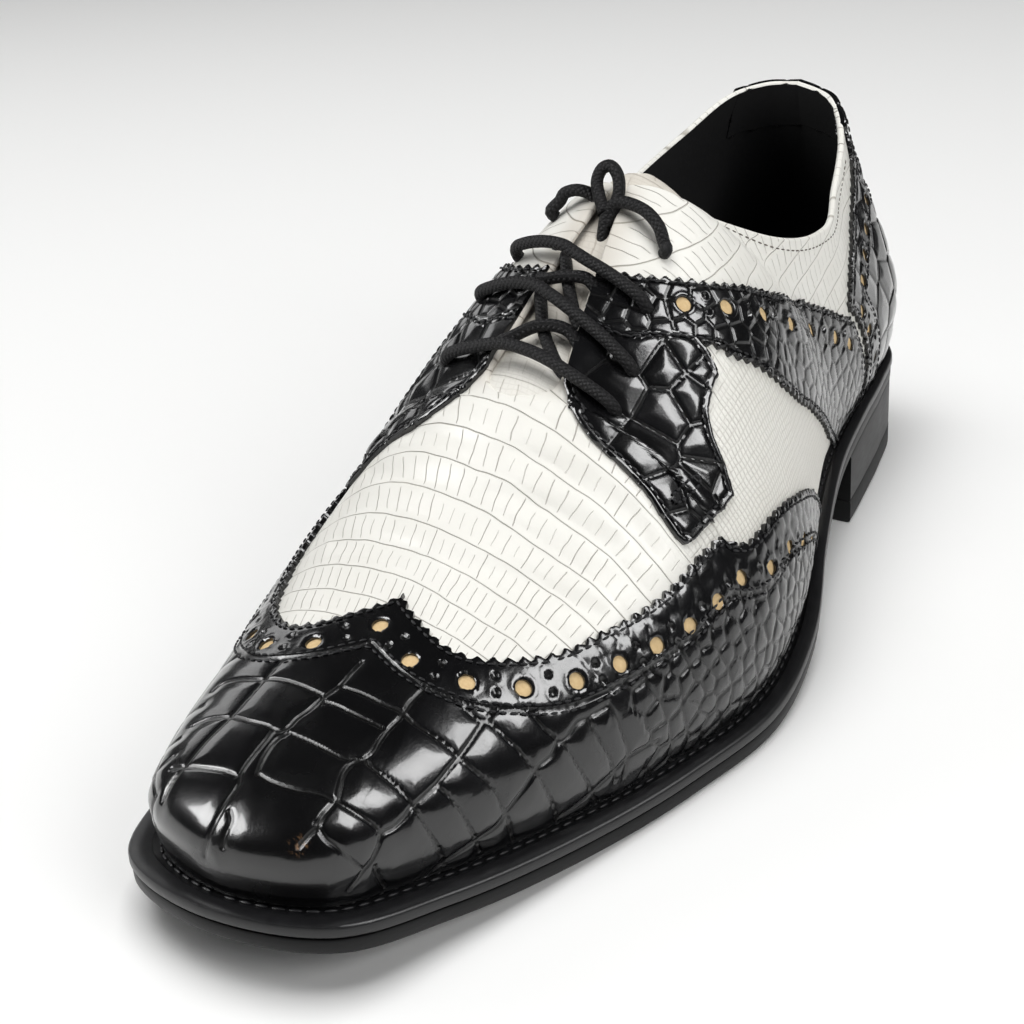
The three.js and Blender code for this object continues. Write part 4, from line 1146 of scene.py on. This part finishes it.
wingSheet = wingDetail()
wingLine = splined(outlines["wing"], 420)
wingArea = np.vstack([wingLine, [(7.25, -0.1), (-0.2, -0.1), (-0.2, 1.2), (3.25, 1.2)]])
inWing = insideOutline(wingSheet["s"], wingSheet["w"], wingArea)
wingEdge, wingRun = edgeDistance(wingSheet, [(1, wingLine), (-1, wingLine)], inWing)
grooves = [onShoe(line) for line in toeGrooves["seen"]] + [np.array(line) for line in toeGrooves["hidden"]]
lateralStart = 3.56 + 0.1 * np.sin(wingSheet["w"] * 9)
smallStart = np.where(wingSheet["side"] > 0, lateralStart, 3.4)
onToeFront = wingSheet["s"] < smallStart
sizeHere = scaleSizes["small"] * np.where(wingSheet["w"] < 0.15, 1.2, 1.0)
wingSeeds = fillSeeds(wingSheet, [], (wingSheet["s"] > smallStart - 0.1) & (wingEdge > -2), sizeHere, 12000, 11)
band = 1 - smoothStep(scaleSizes["band"] - 0.6, scaleSizes["band"] + 0.4, wingEdge)
onToe = 1 - smoothStep(3.1, 3.8, wingSheet["s"])
relief(wingSheet, wingSeeds, scaleSizes["grooveDepth"], scaleSizes["dome"], band * (0.4 + 0.55 * onToe),
       lines=grooves, lineArea=onToeFront)
seam = np.abs(wingEdge - scaleSizes["band"])
wingSheet["height"] += 0.3 * band - 0.25 * (1 - smoothStep(0, 0.9, seam))
wingSheet["edge"] = np.minimum(wingSheet["edge"], seam + 0.1)
line = np.abs(wingEdge - scaleSizes["stitchIn"])
wingSheet["height"] -= 0.16 * (1 - smoothStep(0, 0.8, line))
bigHoles = holePoints(brogue["wing"])
bigGap = nearest(wingSheet, bigHoles) - brogue["bigRadius"]
pinGap = nearest(wingSheet, pinPoints(brogue["wing"]))
wingSheet["height"] += 0.16 * np.exp(-((bigGap - 0.7) / 0.45) ** 2)
wingSheet["height"] += 0.14 * np.exp(-((pinGap - 1.25) / 0.35) ** 2) - 0.55 * (1 - smoothStep(0.2, 0.95, pinGap))
wingSheet["edge"] = np.minimum(wingSheet["edge"], np.maximum(pinGap - 0.5, 0.02) * 1.2)
toothed = wingEdge - gimp(wingRun, 3.1, 1.25)
keep = np.minimum(toothed, bigGap)
wingSheet["lifted"] = wingSheet["base"] + wingSheet["normal"] * 1.45
wingSheet["edgeRun"] = wingEdge
roundEdge(wingSheet, keep)
blackProfile = [(0.0, 0.35), (-0.05, 1.25)]
stitchLines = {"wing": contour(wingSheet, wingEdge, scaleSizes["stitchIn"])
               + contour(wingSheet, wingEdge, scaleSizes["band"] - 1.0)
               + contour(wingSheet, wingEdge, scaleSizes["band"] + 0.9)}
wingCut = cutSheet(wingSheet, keep)
wingtip = leatherPiece("wingtipLeather", wingCut, blackCalf, 1.15, blackProfile, ("edge", "cell", "plain"), 42)
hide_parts("wingtip")
print("wingtip", len(wingCut["faces"]))


# White upper: vamp and quarters, open at the slit and the collar, with a rolled edge
def whitePattern(sheet):
    x, y, z = sheet["base"].T
    s, w, side = sheet["s"], sheet["w"], sheet["side"]
    tilt = math.radians(9)
    frontRows = (y + 0.06 * x + 2.2 * np.sin(x / 19 + 0.6) + 1.4 * np.sin(y / 23)) / 6.4
    rearRows = (z * math.cos(tilt) - y * math.sin(tilt) + 1.6 * np.sin(y / 21)) / 6.2
    sideways = 46 * np.arctan2(x + 3, np.maximum(z - 12, 1))
    frontTicks = (sideways + 0.12 * y) / 2.9
    rearTicks = (y * math.cos(tilt) + z * math.sin(tilt) + 1.5 * np.sin(z / 9)) / 3.0
    hidden = np.interp(s, [5.9, 6.2, 6.6, 7, 7.5, 8, 8.5], [0.85, 0.75, 0.59, 0.5, 0.45, 0.4, 0.3])
    rear = ((s > 5.9) & (w > hidden)) | (s > 8.5)  # the rows change direction under the strip
    sheet["rowAt"] = np.where(rear, rearRows + 40, frontRows + 80)
    sheet["tickAt"] = np.where(rear, rearTicks + 60, frontTicks + 60)
    flank = smoothStep(4.5, 5.1, s + 0.5 * (0.6 - w)) * (1 - smoothStep(0.62, 0.75, w)) * (~rear)
    sheet["kind"] = flank
    rowPart = np.abs(sheet["rowAt"] % 1 - 0.5) * 2
    sheet["height"] = -0.16 * smoothStep(0.72, 1.0, rowPart) * (1 - flank)
    creaseAt, _, _ = grooveLines(sheet, [onShoe(line) for line in vampCreases["lines"]])
    sheet["height"] -= vampCreases["depth"] * np.exp(-(creaseAt / vampCreases["width"]) ** 2)
    sheet["height"] += 0.5 * vampCreases["depth"] * np.exp(-((creaseAt - 4.2) / 2.2) ** 2)
    # painted shade: the white is darkened by the facing edges beside the lacing and, a little, low on the flank
    facing = smoothStep(5.0, 5.3, s) * (1 - smoothStep(6.7, 7.2, s)) * smoothStep(0.93, 1.0, w)
    lowFlank = smoothStep(4.6, 5.2, s) * (1 - smoothStep(7.6, 8.4, s)) * (1 - smoothStep(0.35, 0.6, w))
    sheet["paintedShade"] = 0.3 * facing + 0.07 * lowFlank


vampCreases = {  # soft troughs where the toes bend, in pixels of the photo; depth and half width in mm
    "depth": 0.34, "width": 2.1,
    "lines": [[(366, 470), (430, 476), (500, 490), (560, 512), (612, 542)],
              [(388, 430), (450, 434), (520, 450), (582, 478), (632, 512)],
              [(334, 540), (400, 546), (470, 560), (540, 584), (598, 612)],
              [(560, 470), (600, 492), (634, 520), (655, 548)]],
}


def upperSheet():
    stations = np.concatenate([np.linspace(0, 2.6, 14), np.linspace(2.6, 13, 430)[1:]])
    heights = np.linspace(0, 1, 88)
    return makeSheet([sideGrid(side, stations, heights) for side in (1, -1)])


upperOuter = upperSheet()
whitePattern(upperOuter)
upperOuter["lifted"] = upperOuter["base"]
rolled = [(0.22, 0.12), (0.5, 0.5), (0.6, 0.9), (0.5, 1.3), (0.22, 1.65), (0.0, 1.8)]
upperOuter["height"] *= smoothStep(0, 0.06, 1.0 - upperOuter["w"]) * 1.0 + 0.0
upper = leatherPiece("upperLeather", upperOuter, whiteCalf, 0.0, rolled,
                     ("rowAt", "tickAt", "kind", "paintedShade"), 60)
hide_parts("upper")
print("upper", len(upperOuter["faces"]))


def liningSheet():
    grids = []
    for side in (1, -1):
        grids.append(sideGrid(side, np.linspace(0, 13, 150), np.linspace(0, 1, 30)))
    sheet = makeSheet(grids)
    sheet["faces"] = sheet["faces"][:, ::-1]
    return sheet


liningInner = liningSheet()
lining = buildMesh("lining", liningInner["base"] - liningInner["normal"] * 1.75, liningInner["faces"], liningLeather)
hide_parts("upper")


# Tongue: the vamp's own leather runs on under the facings
tongueSizes = {"depth": 3.0, "thick": 2.0, "rise": 7.0, "start": 4.9}


def tongueGrid(distance, rows=70, columns=46):
    across = np.linspace(-1, 1, columns)
    lifts = np.linspace(0, tongueSizes["rise"], 12)[1:]
    stations = np.linspace(tongueSizes["start"], 6.98, rows)
    points = []
    for s in stations:
        t = np.abs(across)
        w = np.where(t < 0.5, 2 - t * 2, 1 - (t - 0.5) * 2 * 0.21)
        r = np.where(across > 0, s, around - s)
        sink = distance * smoothStep(4.95, 5.75, s)
        points.append(place(r, w, np.full(len(r), -0.35 - sink)))
    middleX = float(rib(np.array([6.98]))["x"][0])
    topY = table["topY"][corner]
    for lift in lifts:
        p = points[rows - 1].copy()
        narrow = 1 - lift / 26 - 0.25 * (lift / tongueSizes["rise"]) ** 6
        p[:, 0] = middleX + (p[:, 0] - middleX) * narrow
        p[:, 1] += lift
        p[:, 2] += float(ridgeHeight(np.array(topY + lift)) - ridgeHeight(np.array(topY)))
        points.append(p)
    return np.array(points)


def makeTongue():
    top = tongueGrid(tongueSizes["depth"] - 0.35)
    under = top - np.array([0, -0.55, 1.0]) * tongueSizes["thick"] * 0.8
    n, m = top.shape[:2]
    loop = np.concatenate([top, under[:, ::-1]], axis=1)
    k = loop.shape[1]
    i, j = np.meshgrid(np.arange(n - 1), np.arange(k), indexing="ij")
    a, b = i * k + j, i * k + (j + 1) % k
    quads = np.stack([a, b, b + k, a + k], -1).reshape(-1, 4)[:, ::-1]
    j = np.arange(m - 1)
    end = (n - 1) * k
    cap = np.stack([end + j, end + j + 1, end + k - 2 - j, end + k - 1 - j], -1)
    cap2 = np.stack([j, k - 1 - j, k - 2 - j, j + 1], -1)
    points = loop.reshape(-1, 3)
    x, y, z = points.T
    values = {"rowAt": (y + 0.06 * x + 2.2 * np.sin(x / 19 + 0.6) + 1.4 * np.sin(y / 23)) / 6.4 + 80,
              "tickAt": (46 * np.arctan2(x + 3, np.maximum(z - 12, 1)) + 0.12 * y) / 2.9 + 60, "kind": np.full(len(x), 0.35),
              # painted shade on the tongue, darker towards its upper part between the facings
              "paintedShade": np.full(len(x), 0.1) + 0.25 * smoothStep(-34, -10, y)}
    obj = buildMesh("tongueLeather", points, [quads, cap, cap2], whiteCalf, values, 50)
    deselect()
    obj.select_set(True)
    bpy.context.view_layer.objects.active = obj
    bpy.ops.object.mode_set(mode="EDIT")
    bpy.ops.mesh.select_all(action="SELECT")
    bpy.ops.mesh.normals_make_consistent(inside=False)
    bpy.ops.object.mode_set(mode="OBJECT")
    return obj


tongue = makeTongue()
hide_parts("tongue")


def bandGrid(side, first, second, columns, rows, extra):
    # a grid between two outlines, run past both by a share of the width
    a, b = splined(first, columns), splined(second, columns)
    u = np.linspace(-extra, 1 + extra, rows)
    s = a[:, None, 0] + (b[:, None, 0] - a[:, None, 0]) * u
    w = np.clip(a[:, None, 1] + (b[:, None, 1] - a[:, None, 1]) * u, 0, 1)
    if side < 0:
        s, w = s[::-1], w[::-1]
    return ring(side, s), w


def blackPanel(name, node, sheet, edges, area, holes, size, seedNumber, teeth, lift, handSeeds=(), bandWidth=0,
               stitchAt=(1.9,), domeHeight=0.3, grooveDepth=0.3, folded=False):
    inside = insideOutline(sheet["s"], sheet["w"], area)
    distance, run = edgeDistance(sheet, edges, inside)
    gimped = distance - gimp(run, 3.1, 1.2) * teeth(sheet) if teeth else distance
    seeds = fillSeeds(sheet, list(handSeeds), distance > -2.5, np.full(len(distance), size), 12000, seedNumber)
    plain = np.zeros(len(distance))
    if bandWidth:
        plain = 0.6 * (1 - smoothStep(1.5, 3.0, distance))
    relief(sheet, seeds, grooveDepth, domeHeight, plain)
    keepHere = gimped
    if folded:
        sheet["height"] = sheet["height"] * smoothStep(0.6, 3.4, distance) + 0.3 * np.exp(-((distance - 0.7) / 0.6) ** 2)
    if len(holes):
        big = nearest(sheet, holePoints(holes, (int(sheet["side"][0]),))) - brogue["bigRadius"]
        pins = nearest(sheet, pinPoints(holes, (int(sheet["side"][0]),)))
        sheet["height"] += 0.16 * np.exp(-((big - 0.7) / 0.45) ** 2)
        sheet["height"] += 0.14 * np.exp(-((pins - 1.25) / 0.35) ** 2) - 0.55 * (1 - smoothStep(0.2, 0.95, pins))
        keepHere = np.minimum(keepHere, big)
    for at in stitchAt:
        sheet["height"] -= 0.14 * (1 - smoothStep(0, 0.8, np.abs(distance - at)))
    sheet["lifted"] = sheet["base"] + sheet["normal"] * (lift + 0.15)
    stitchLines.setdefault(name, [])
    for at in stitchAt:
        stitchLines[name] += contour(sheet, distance, at)
    roundEdge(sheet, keepHere)
    cut = cutSheet(sheet, keepHere)
    obj = leatherPiece(name, cut, blackCalf, lift, blackProfile, ("edge", "cell", "plain"), 42)
    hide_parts(node)
    print(name, len(cut["faces"]))
    return obj


def densePolyline(rows, count=160):
    return splined(rows, count)


outlines["stayFront"] = [(5.27, 1.0)] + onLateral(seenOutlines["stayFront"])
outlines["stayTail"] = onLateral(seenOutlines["stayTail"])
underStrip = [(5.96, 0.75), (5.95, 0.79), (5.79, 0.865), (5.7, 0.92), (5.69, 1.0)]
outlines["stayRear"] = onLateral(seenOutlines["stayRear"]) + underStrip
outlines["stripUpper"] = [(6.04, 1.0)] + onLateral(seenOutlines["stripUpper"]) + [(8.84, 0.49), (8.95, 0.3), (9.2, 0.0)]
outlines["stripLower"] = [(5.62, 1.0)] + onLateral(seenOutlines["stripLower"]) + [(8.25, 0.0)]
brogue["strip"] = onLateral(seenOutlines["stripHoles"]) + [(8.62, 0.4)]
stayOutline = {"front": densePolyline(outlines["stayFront"]), "tail": densePolyline(outlines["stayTail"], 60),
               "rear": densePolyline(outlines["stayRear"], 120)}
stripOutline = {"upper": densePolyline(outlines["stripUpper"], 300), "lower": densePolyline(outlines["stripLower"], 300)}
counterLine = densePolyline(outlines["counter"], 240)
tabLine = densePolyline(outlines["tab"], 80)
stayScales = onLateral(seenOutlines["stayScales"]) + [(5.75, 0.98), (5.95, 0.9), (5.5, 0.99)]
stayGrid = {"first": [(5.3, 1.0), (5.16, 0.95), (5.0, 0.88), (4.86, 0.83), (4.8, 0.76), (4.74, 0.68), (4.64, 0.6), (4.6, 0.48)],
            "second": [(6.15, 1.0), (6.15, 0.96), (6.15, 0.9), (6.15, 0.8), (6.05, 0.68), (5.8, 0.62), (5.6, 0.55), (5.45, 0.48)]}
for side, word in ((1, "Lateral"), (-1, "Medial")):
    staySheet = makeSheet([bandGrid(side, stayGrid["first"], stayGrid["second"], 130, 90, 0.06)])
    stayArea = np.vstack([stayOutline["front"], stayOutline["tail"], stayOutline["rear"], [(5.69, 1.2), (5.27, 1.2)]])
    blackPanel("stay" + word, "lace_stay_" + word.lower(), staySheet,
               [(side, stayOutline["front"]), (side, stayOutline["tail"]), (side, stayOutline["rear"])], stayArea, [],
               15.0, 21, None, 1.0, [surface(ring(side, s), w) for s, w in stayScales], stitchAt=(1.7,), domeHeight=0.45, folded=True)
    stripSheet = makeSheet([bandGrid(side, outlines["stripLower"], outlines["stripUpper"], 300, 64, 0.08)])
    stripArea = np.vstack([stripOutline["lower"], [(8.25, -0.1), (9.2, -0.1)], stripOutline["upper"][::-1],
                           [(6.04, 1.2), (5.64, 1.2)]])
    blackPanel("strip" + word, "saddle_strip_" + word.lower(), stripSheet,
               [(side, stripOutline["upper"]), (side, stripOutline["lower"])], stripArea, brogue["strip"],
               4.0, 31, lambda sheet: 1.0, 1.25, stitchAt=(1.9,), domeHeight=0.16, grooveDepth=0.2)

counterSheet = makeSheet([(r, w) for r, w in [sideGrid(side, np.linspace(8.7, 13, 200), np.linspace(0, 0.93, 140))
                                              for side in (1, -1)]])
counterArea = np.vstack([counterLine, [(13.3, 0.83), (13.3, -0.1), (9.3, -0.1)]])
counterTop = np.array([(s, 0.83) for s in np.linspace(11.1, 13, 60)])
counterInside = insideOutline(counterSheet["s"], counterSheet["w"], counterArea)


def addCounter():
    sheet = counterSheet
    edges = [(side, line) for side in (1, -1) for line in (counterLine, counterTop)]
    distance, run = edgeDistance(sheet, edges, counterInside)
    teeth = 1 - smoothStep(10.6, 11.0, sheet["s"])
    seeds = fillSeeds(sheet, [], distance > -2.5, np.full(len(distance), 9.0), 12000, 41)
    relief(sheet, seeds, scaleSizes["grooveDepth"], 0.35, 0.6 * (1 - smoothStep(1.5, 3.0, distance)))
    big = nearest(sheet, holePoints(brogue["counter"])) - brogue["bigRadius"]
    pins = nearest(sheet, pinPoints(brogue["counter"]))
    sheet["height"] += 0.16 * np.exp(-((big - 0.7) / 0.45) ** 2)
    sheet["height"] += 0.14 * np.exp(-((pins - 1.25) / 0.35) ** 2) - 0.55 * (1 - smoothStep(0.2, 0.95, pins))
    for at in (1.9, 11.0):
        sheet["height"] -= 0.14 * (1 - smoothStep(0, 0.8, np.abs(distance - at)))
    keepHere = np.minimum(distance - gimp(run, 3.1, 1.2) * teeth, big)
    sheet["lifted"] = sheet["base"] + sheet["normal"] * 1.45
    stitchLines["counter"] = contour(sheet, distance, 1.9) + contour(sheet, distance, 11.0)
    roundEdge(sheet, keepHere)
    cut = cutSheet(sheet, keepHere)
    obj = leatherPiece("heelCounter", cut, blackCalf, 1.2, blackProfile, ("edge", "cell", "plain"), 42)
    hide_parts("heel_counter")
    print("counter", len(cut["faces"]))


addCounter()


def addTab():
    sheet = makeSheet([sideGrid(side, np.linspace(10.9, 13, 100), np.linspace(0.82, 1.0, 40)) for side in (1, -1)])
    area = np.vstack([tabLine, [(11.3, 1.2), (13.3, 1.2), (13.3, 0.84)]])
    inside = insideOutline(sheet["s"], sheet["w"], area)
    bottom = np.array([(s, 0.84) for s in np.linspace(11, 13, 60)])
    edges = [(side, line) for side in (1, -1) for line in (tabLine, bottom)]
    distance, run = edgeDistance(sheet, edges, inside)
    seeds = fillSeeds(sheet, [], distance > -2.5, np.full(len(distance), 6.0), 8000, 51)
    relief(sheet, seeds, scaleSizes["grooveDepth"], 0.3, np.zeros(len(distance)))
    sheet["lifted"] = sheet["base"] + sheet["normal"] * 1.3
    stitchLines["tab"] = contour(sheet, distance, 1.5)
    roundEdge(sheet, distance)
    cut = cutSheet(sheet, distance)
    obj = leatherPiece("collarTab", cut, blackCalf, 1.1, [(0.4, 0.3), (0.6, 1.0), (0.5, 2.0), (0.1, 3.0)],
                       ("edge", "cell", "plain"), 50)
    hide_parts("collar_tab")


addTab()
print("leather pieces are made")


# Sole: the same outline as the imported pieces, in smooth fine rings
def ringLoop(distance, height, stations):
    p = insetPoint(stations, distance(np.where(stations <= lastStation, stations, around - stations)))
    return np.column_stack([p, height(p[:, 1])])


def loftLoops(loops, close):
    k = len(loops[0])
    quads = []
    count = len(loops) if close else len(loops) - 1
    for i in range(count):
        a = i * k + np.arange(k)
        b = ((i + 1) % len(loops)) * k + np.arange(k)
        quads.append(np.stack([a, np.roll(a, -1), np.roll(b, -1), b], -1))
    return np.concatenate(loops), np.concatenate(quads)


stationsAll = np.linspace(0, around, 521)[:-1]


def insetOf(s):
    return along(table["inset"], s)


def capStrip(offset, count, up):
    half = count // 2
    a = offset + np.arange(half)
    b = offset + (count - np.arange(half)) % count
    quads = np.stack([a, a + 1, np.roll(np.append(b, offset + half), -1)[:half], b], -1)
    return quads if up else quads[:, ::-1]


def addSole():
    stack, outsole = last["soleStack"], last["outsole"]
    rows = [(1.6, 0.0), (0.7, 0.25), (0.4, 0.8), (0.35, outsole - 0.7), (0.55, outsole - 0.25), (1.1, outsole)]
    loops = [ringLoop(lambda s, d=d: np.full(len(s), d), lambda y, h=h: soleHeight(y) + h, stationsAll) for d, h in rows]
    points, quads = loftLoops(loops, False)
    k = len(stationsAll)
    faces = [quads, capStrip(0, k, False), capStrip((len(rows) - 1) * k, k, True)]
    obj = buildMesh("outsoleLeather", points, faces, soleEdge, None, 40)
    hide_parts("outsole")
    low = outsole + last["gap"]
    profile = [
        (lambda s: np.full(len(s), 0.9), low - 0.15), (lambda s: np.full(len(s), 0.25), low + 0.1),
        (lambda s: np.full(len(s), 0.02), low + 0.6), (lambda s: np.full(len(s), 0.05), stack - 1.0),
        (lambda s: np.full(len(s), 0.3), stack - 0.45), (lambda s: np.full(len(s), 0.85), stack - 0.12),
        (lambda s: 0.4 * insetOf(s), stack), (lambda s: 0.56 * insetOf(s), stack - 0.02),
        (lambda s: 0.6 * insetOf(s), stack - 0.4), (lambda s: 0.7 * insetOf(s), stack - 0.62),
        (lambda s: 0.86 * insetOf(s), stack - 0.6), (lambda s: 0.93 * insetOf(s), stack - 0.3),
        (lambda s: insetOf(s) + 0.4, stack), (lambda s: insetOf(s) + last["weltLedge"], stack),
        (lambda s: insetOf(s) + last["weltLedge"], low),
    ]
    loops = [ringLoop(d, lambda y, h=h: soleHeight(y) + h, stationsAll) for d, h in profile]
    points, quads = loftLoops(loops, True)
    obj = buildMesh("weltLeather", points, quads, weltLeather, None, 40)
    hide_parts("welt")


addSole()


def breast(side):
    s = np.linspace(7, 11, 2000)
    return float(np.interp(last["heelBreast"], outline(ring(side, s))[:, 1], s))


def addHeel():
    outer, inner = breast(1), breast(-1)
    r = np.linspace(outer, around - inner, 220)
    stack = [(0.85, lambda y: 0 * y + last["heelLift"] + 0.25), (0.6, lambda y: 0 * y + last["heelLift"] + 0.7),
             (0.6, lambda y: soleHeight(y) - 0.7), (0.85, lambda y: soleHeight(y) - 0.25)]
    lift = [(1.5, lambda y: 0 * y), (0.8, lambda y: 0 * y + 0.3), (0.55, lambda y: 0 * y + 1.0),
            (0.55, lambda y: 0 * y + last["heelLift"] - 0.5), (0.85, lambda y: 0 * y + last["heelLift"])]
    for name, rows, material, node, slotName in (("heelStack", stack, soleEdge, "heel_stack", "sole_edge"),
                                                 ("heelTopLift", lift, topLift, "heel_lift", "top_lift")):
        loops = []
        for distance, height in rows:
            p = insetPoint(r, np.full(len(r), distance))
            p[:, 1] = np.maximum(p[:, 1], last["heelBreast"] + distance * 0.3)
            front = np.linspace(p[-1], p[0], 40)[1:-1]
            front[:, 1] += 2.2 * np.sin(np.linspace(0, math.pi, 38))
            whole = np.vstack([p, front])
            loops.append(np.column_stack([whole, height(whole[:, 1])]))
        points, quads = loftLoops(loops, False)
        k = len(loops[0])
        caps = [np.arange(k)[::-1][None], (np.arange(k) + (len(rows) - 1) * k)[None]]
        obj = buildMesh(name, points, [quads] + caps, material, None, 35)
        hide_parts(node)


addHeel()
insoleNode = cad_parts["insole"]
insoleNode.data.materials.clear()
insoleNode.data.materials.append(liningLeather)
print("sole and heel are made")


# Stitches: one small lozenge of thread, copied along each line of sewing
def threadShape():
    deselect()
    bpy.ops.mesh.primitive_uv_sphere_add(segments=8, ring_count=6, radius=1)
    obj = bpy.context.active_object
    points = np.array([v.co[:] for v in obj.data.vertices])
    faces = [list(p.vertices) for p in obj.data.polygons]
    bpy.data.objects.remove(obj)
    quads = np.array([f for f in faces if len(f) == 4])
    tris = np.array([f for f in faces if len(f) == 3])
    return points, quads, tris


stitchShape = threadShape()


def sew(name, lines, material, pitch=2.3, length=1.75, thick=0.3, rise=0.12):
    shape, quads, tris = stitchShape
    allPoints, allQuads, allTris, offset = [], [], [], 0
    for points, normals in lines:
        run = np.concatenate([[0], np.cumsum(np.linalg.norm(np.diff(points, axis=0), axis=1))])
        if run[-1] < pitch * 2:
            continue
        for at in np.arange(pitch / 2, run[-1] - pitch / 2, pitch):
            def take(values, position):
                return np.array([np.interp(position, run, values[:, k]) for k in range(3)])
            a, b = take(points, at - length / 2), take(points, at + length / 2)
            normal = take(normals, at)
            normal /= np.linalg.norm(normal)
            way = (b - a) / np.linalg.norm(b - a)
            across = np.cross(normal, way)
            placed = ((a + b) / 2 + normal * rise + shape[:, :1] * way * length / 2
                      + shape[:, 1:2] * across * thick + shape[:, 2:] * normal * thick * 0.8)
            allPoints.append(placed)
            allQuads.append(quads + offset)
            allTris.append(tris + offset)
            offset += len(shape)
    obj = buildMesh(name, np.concatenate(allPoints), [np.concatenate(allQuads), np.concatenate(allTris)], material)
    return obj


blackLines = [line for key in stitchLines for line in stitchLines[key]]
sew("blackStitching", blackLines, blackThread)


def toplineRow(side, inset):
    # a row of sewing just under the white topline, from the facing's corner to the tab
    s = np.linspace(7.05, 10.85, 260)
    r = ring(side, s)
    tall = np.linalg.norm(surface(r, np.full(260, 1.0)) - surface(r, np.full(260, 0.95)), axis=1) / 0.05
    w = 1 - inset / tall
    return place(r, w, np.full(260, 0.02)), normalAt(r, w)


sew("toplineStitching", [toplineRow(side, 3.0) for side in (1, -1)], greyThread, 2.4, 1.6, 0.2, 0.0)
weltLine = ringLoop(lambda s: 0.78 * insetOf(s), lambda y: soleHeight(y) + last["soleStack"] - 0.5, stationsAll)
sew("weltStitching", [(weltLine, np.tile([0, 0, 1.0], (len(weltLine), 1)))], blackThread, 3.4, 2.9, 0.42, 0.05)
tack = onShoe([(671, 496), (680, 488), (690, 479), (697, 477), (699, 485), (690, 494), (680, 502), (674, 504), (671, 496)])
tackPath, _ = curveThrough(place(tack[:, 0], tack[:, 1], np.full(len(tack), 1.75)), 0.4)
tackNormal = normalAt(tack[4, 0], tack[4, 1])
sew("tailTack", [(tackPath, np.tile(tackNormal, (len(tackPath), 1)))], blackThread, 1.6, 1.4, 0.38, 0.1)


def backHoles():
    # natural leather showing through each large hole
    angles = np.linspace(0, 2 * math.pi, 17)[:-1]
    points, faces, offset = [], [], 0
    rows = [(side, s, w, 0.62) for side in (1, -1) for key in ("wing", "strip", "counter") for s, w in brogue[key]
            if not (side < 0 and key == "wing" and w == 1.0)]
    for side, s, w, height in rows:
        centre = surface(ring(side, s), w)
        normal = normalAt(ring(side, s), w)
        first = np.cross(normal, (0, 0, 1.0))
        first /= np.linalg.norm(first)
        second = np.cross(normal, first)
        reach = brogue["bigRadius"] + 0.9
        circle = centre + normal * height + reach * (np.cos(angles)[:, None] * first + np.sin(angles)[:, None] * second)
        points.append(np.vstack([circle, centre + normal * (height + 0.03)]))
        k = np.arange(16)
        faces.append(np.stack([k, (k + 1) % 16, np.full(16, 16)], -1) + offset)
        offset += 17
    obj = buildMesh("holeBacking", np.concatenate(points), np.concatenate(faces), cutEdge)


backHoles()
print("stitches and backing are made")
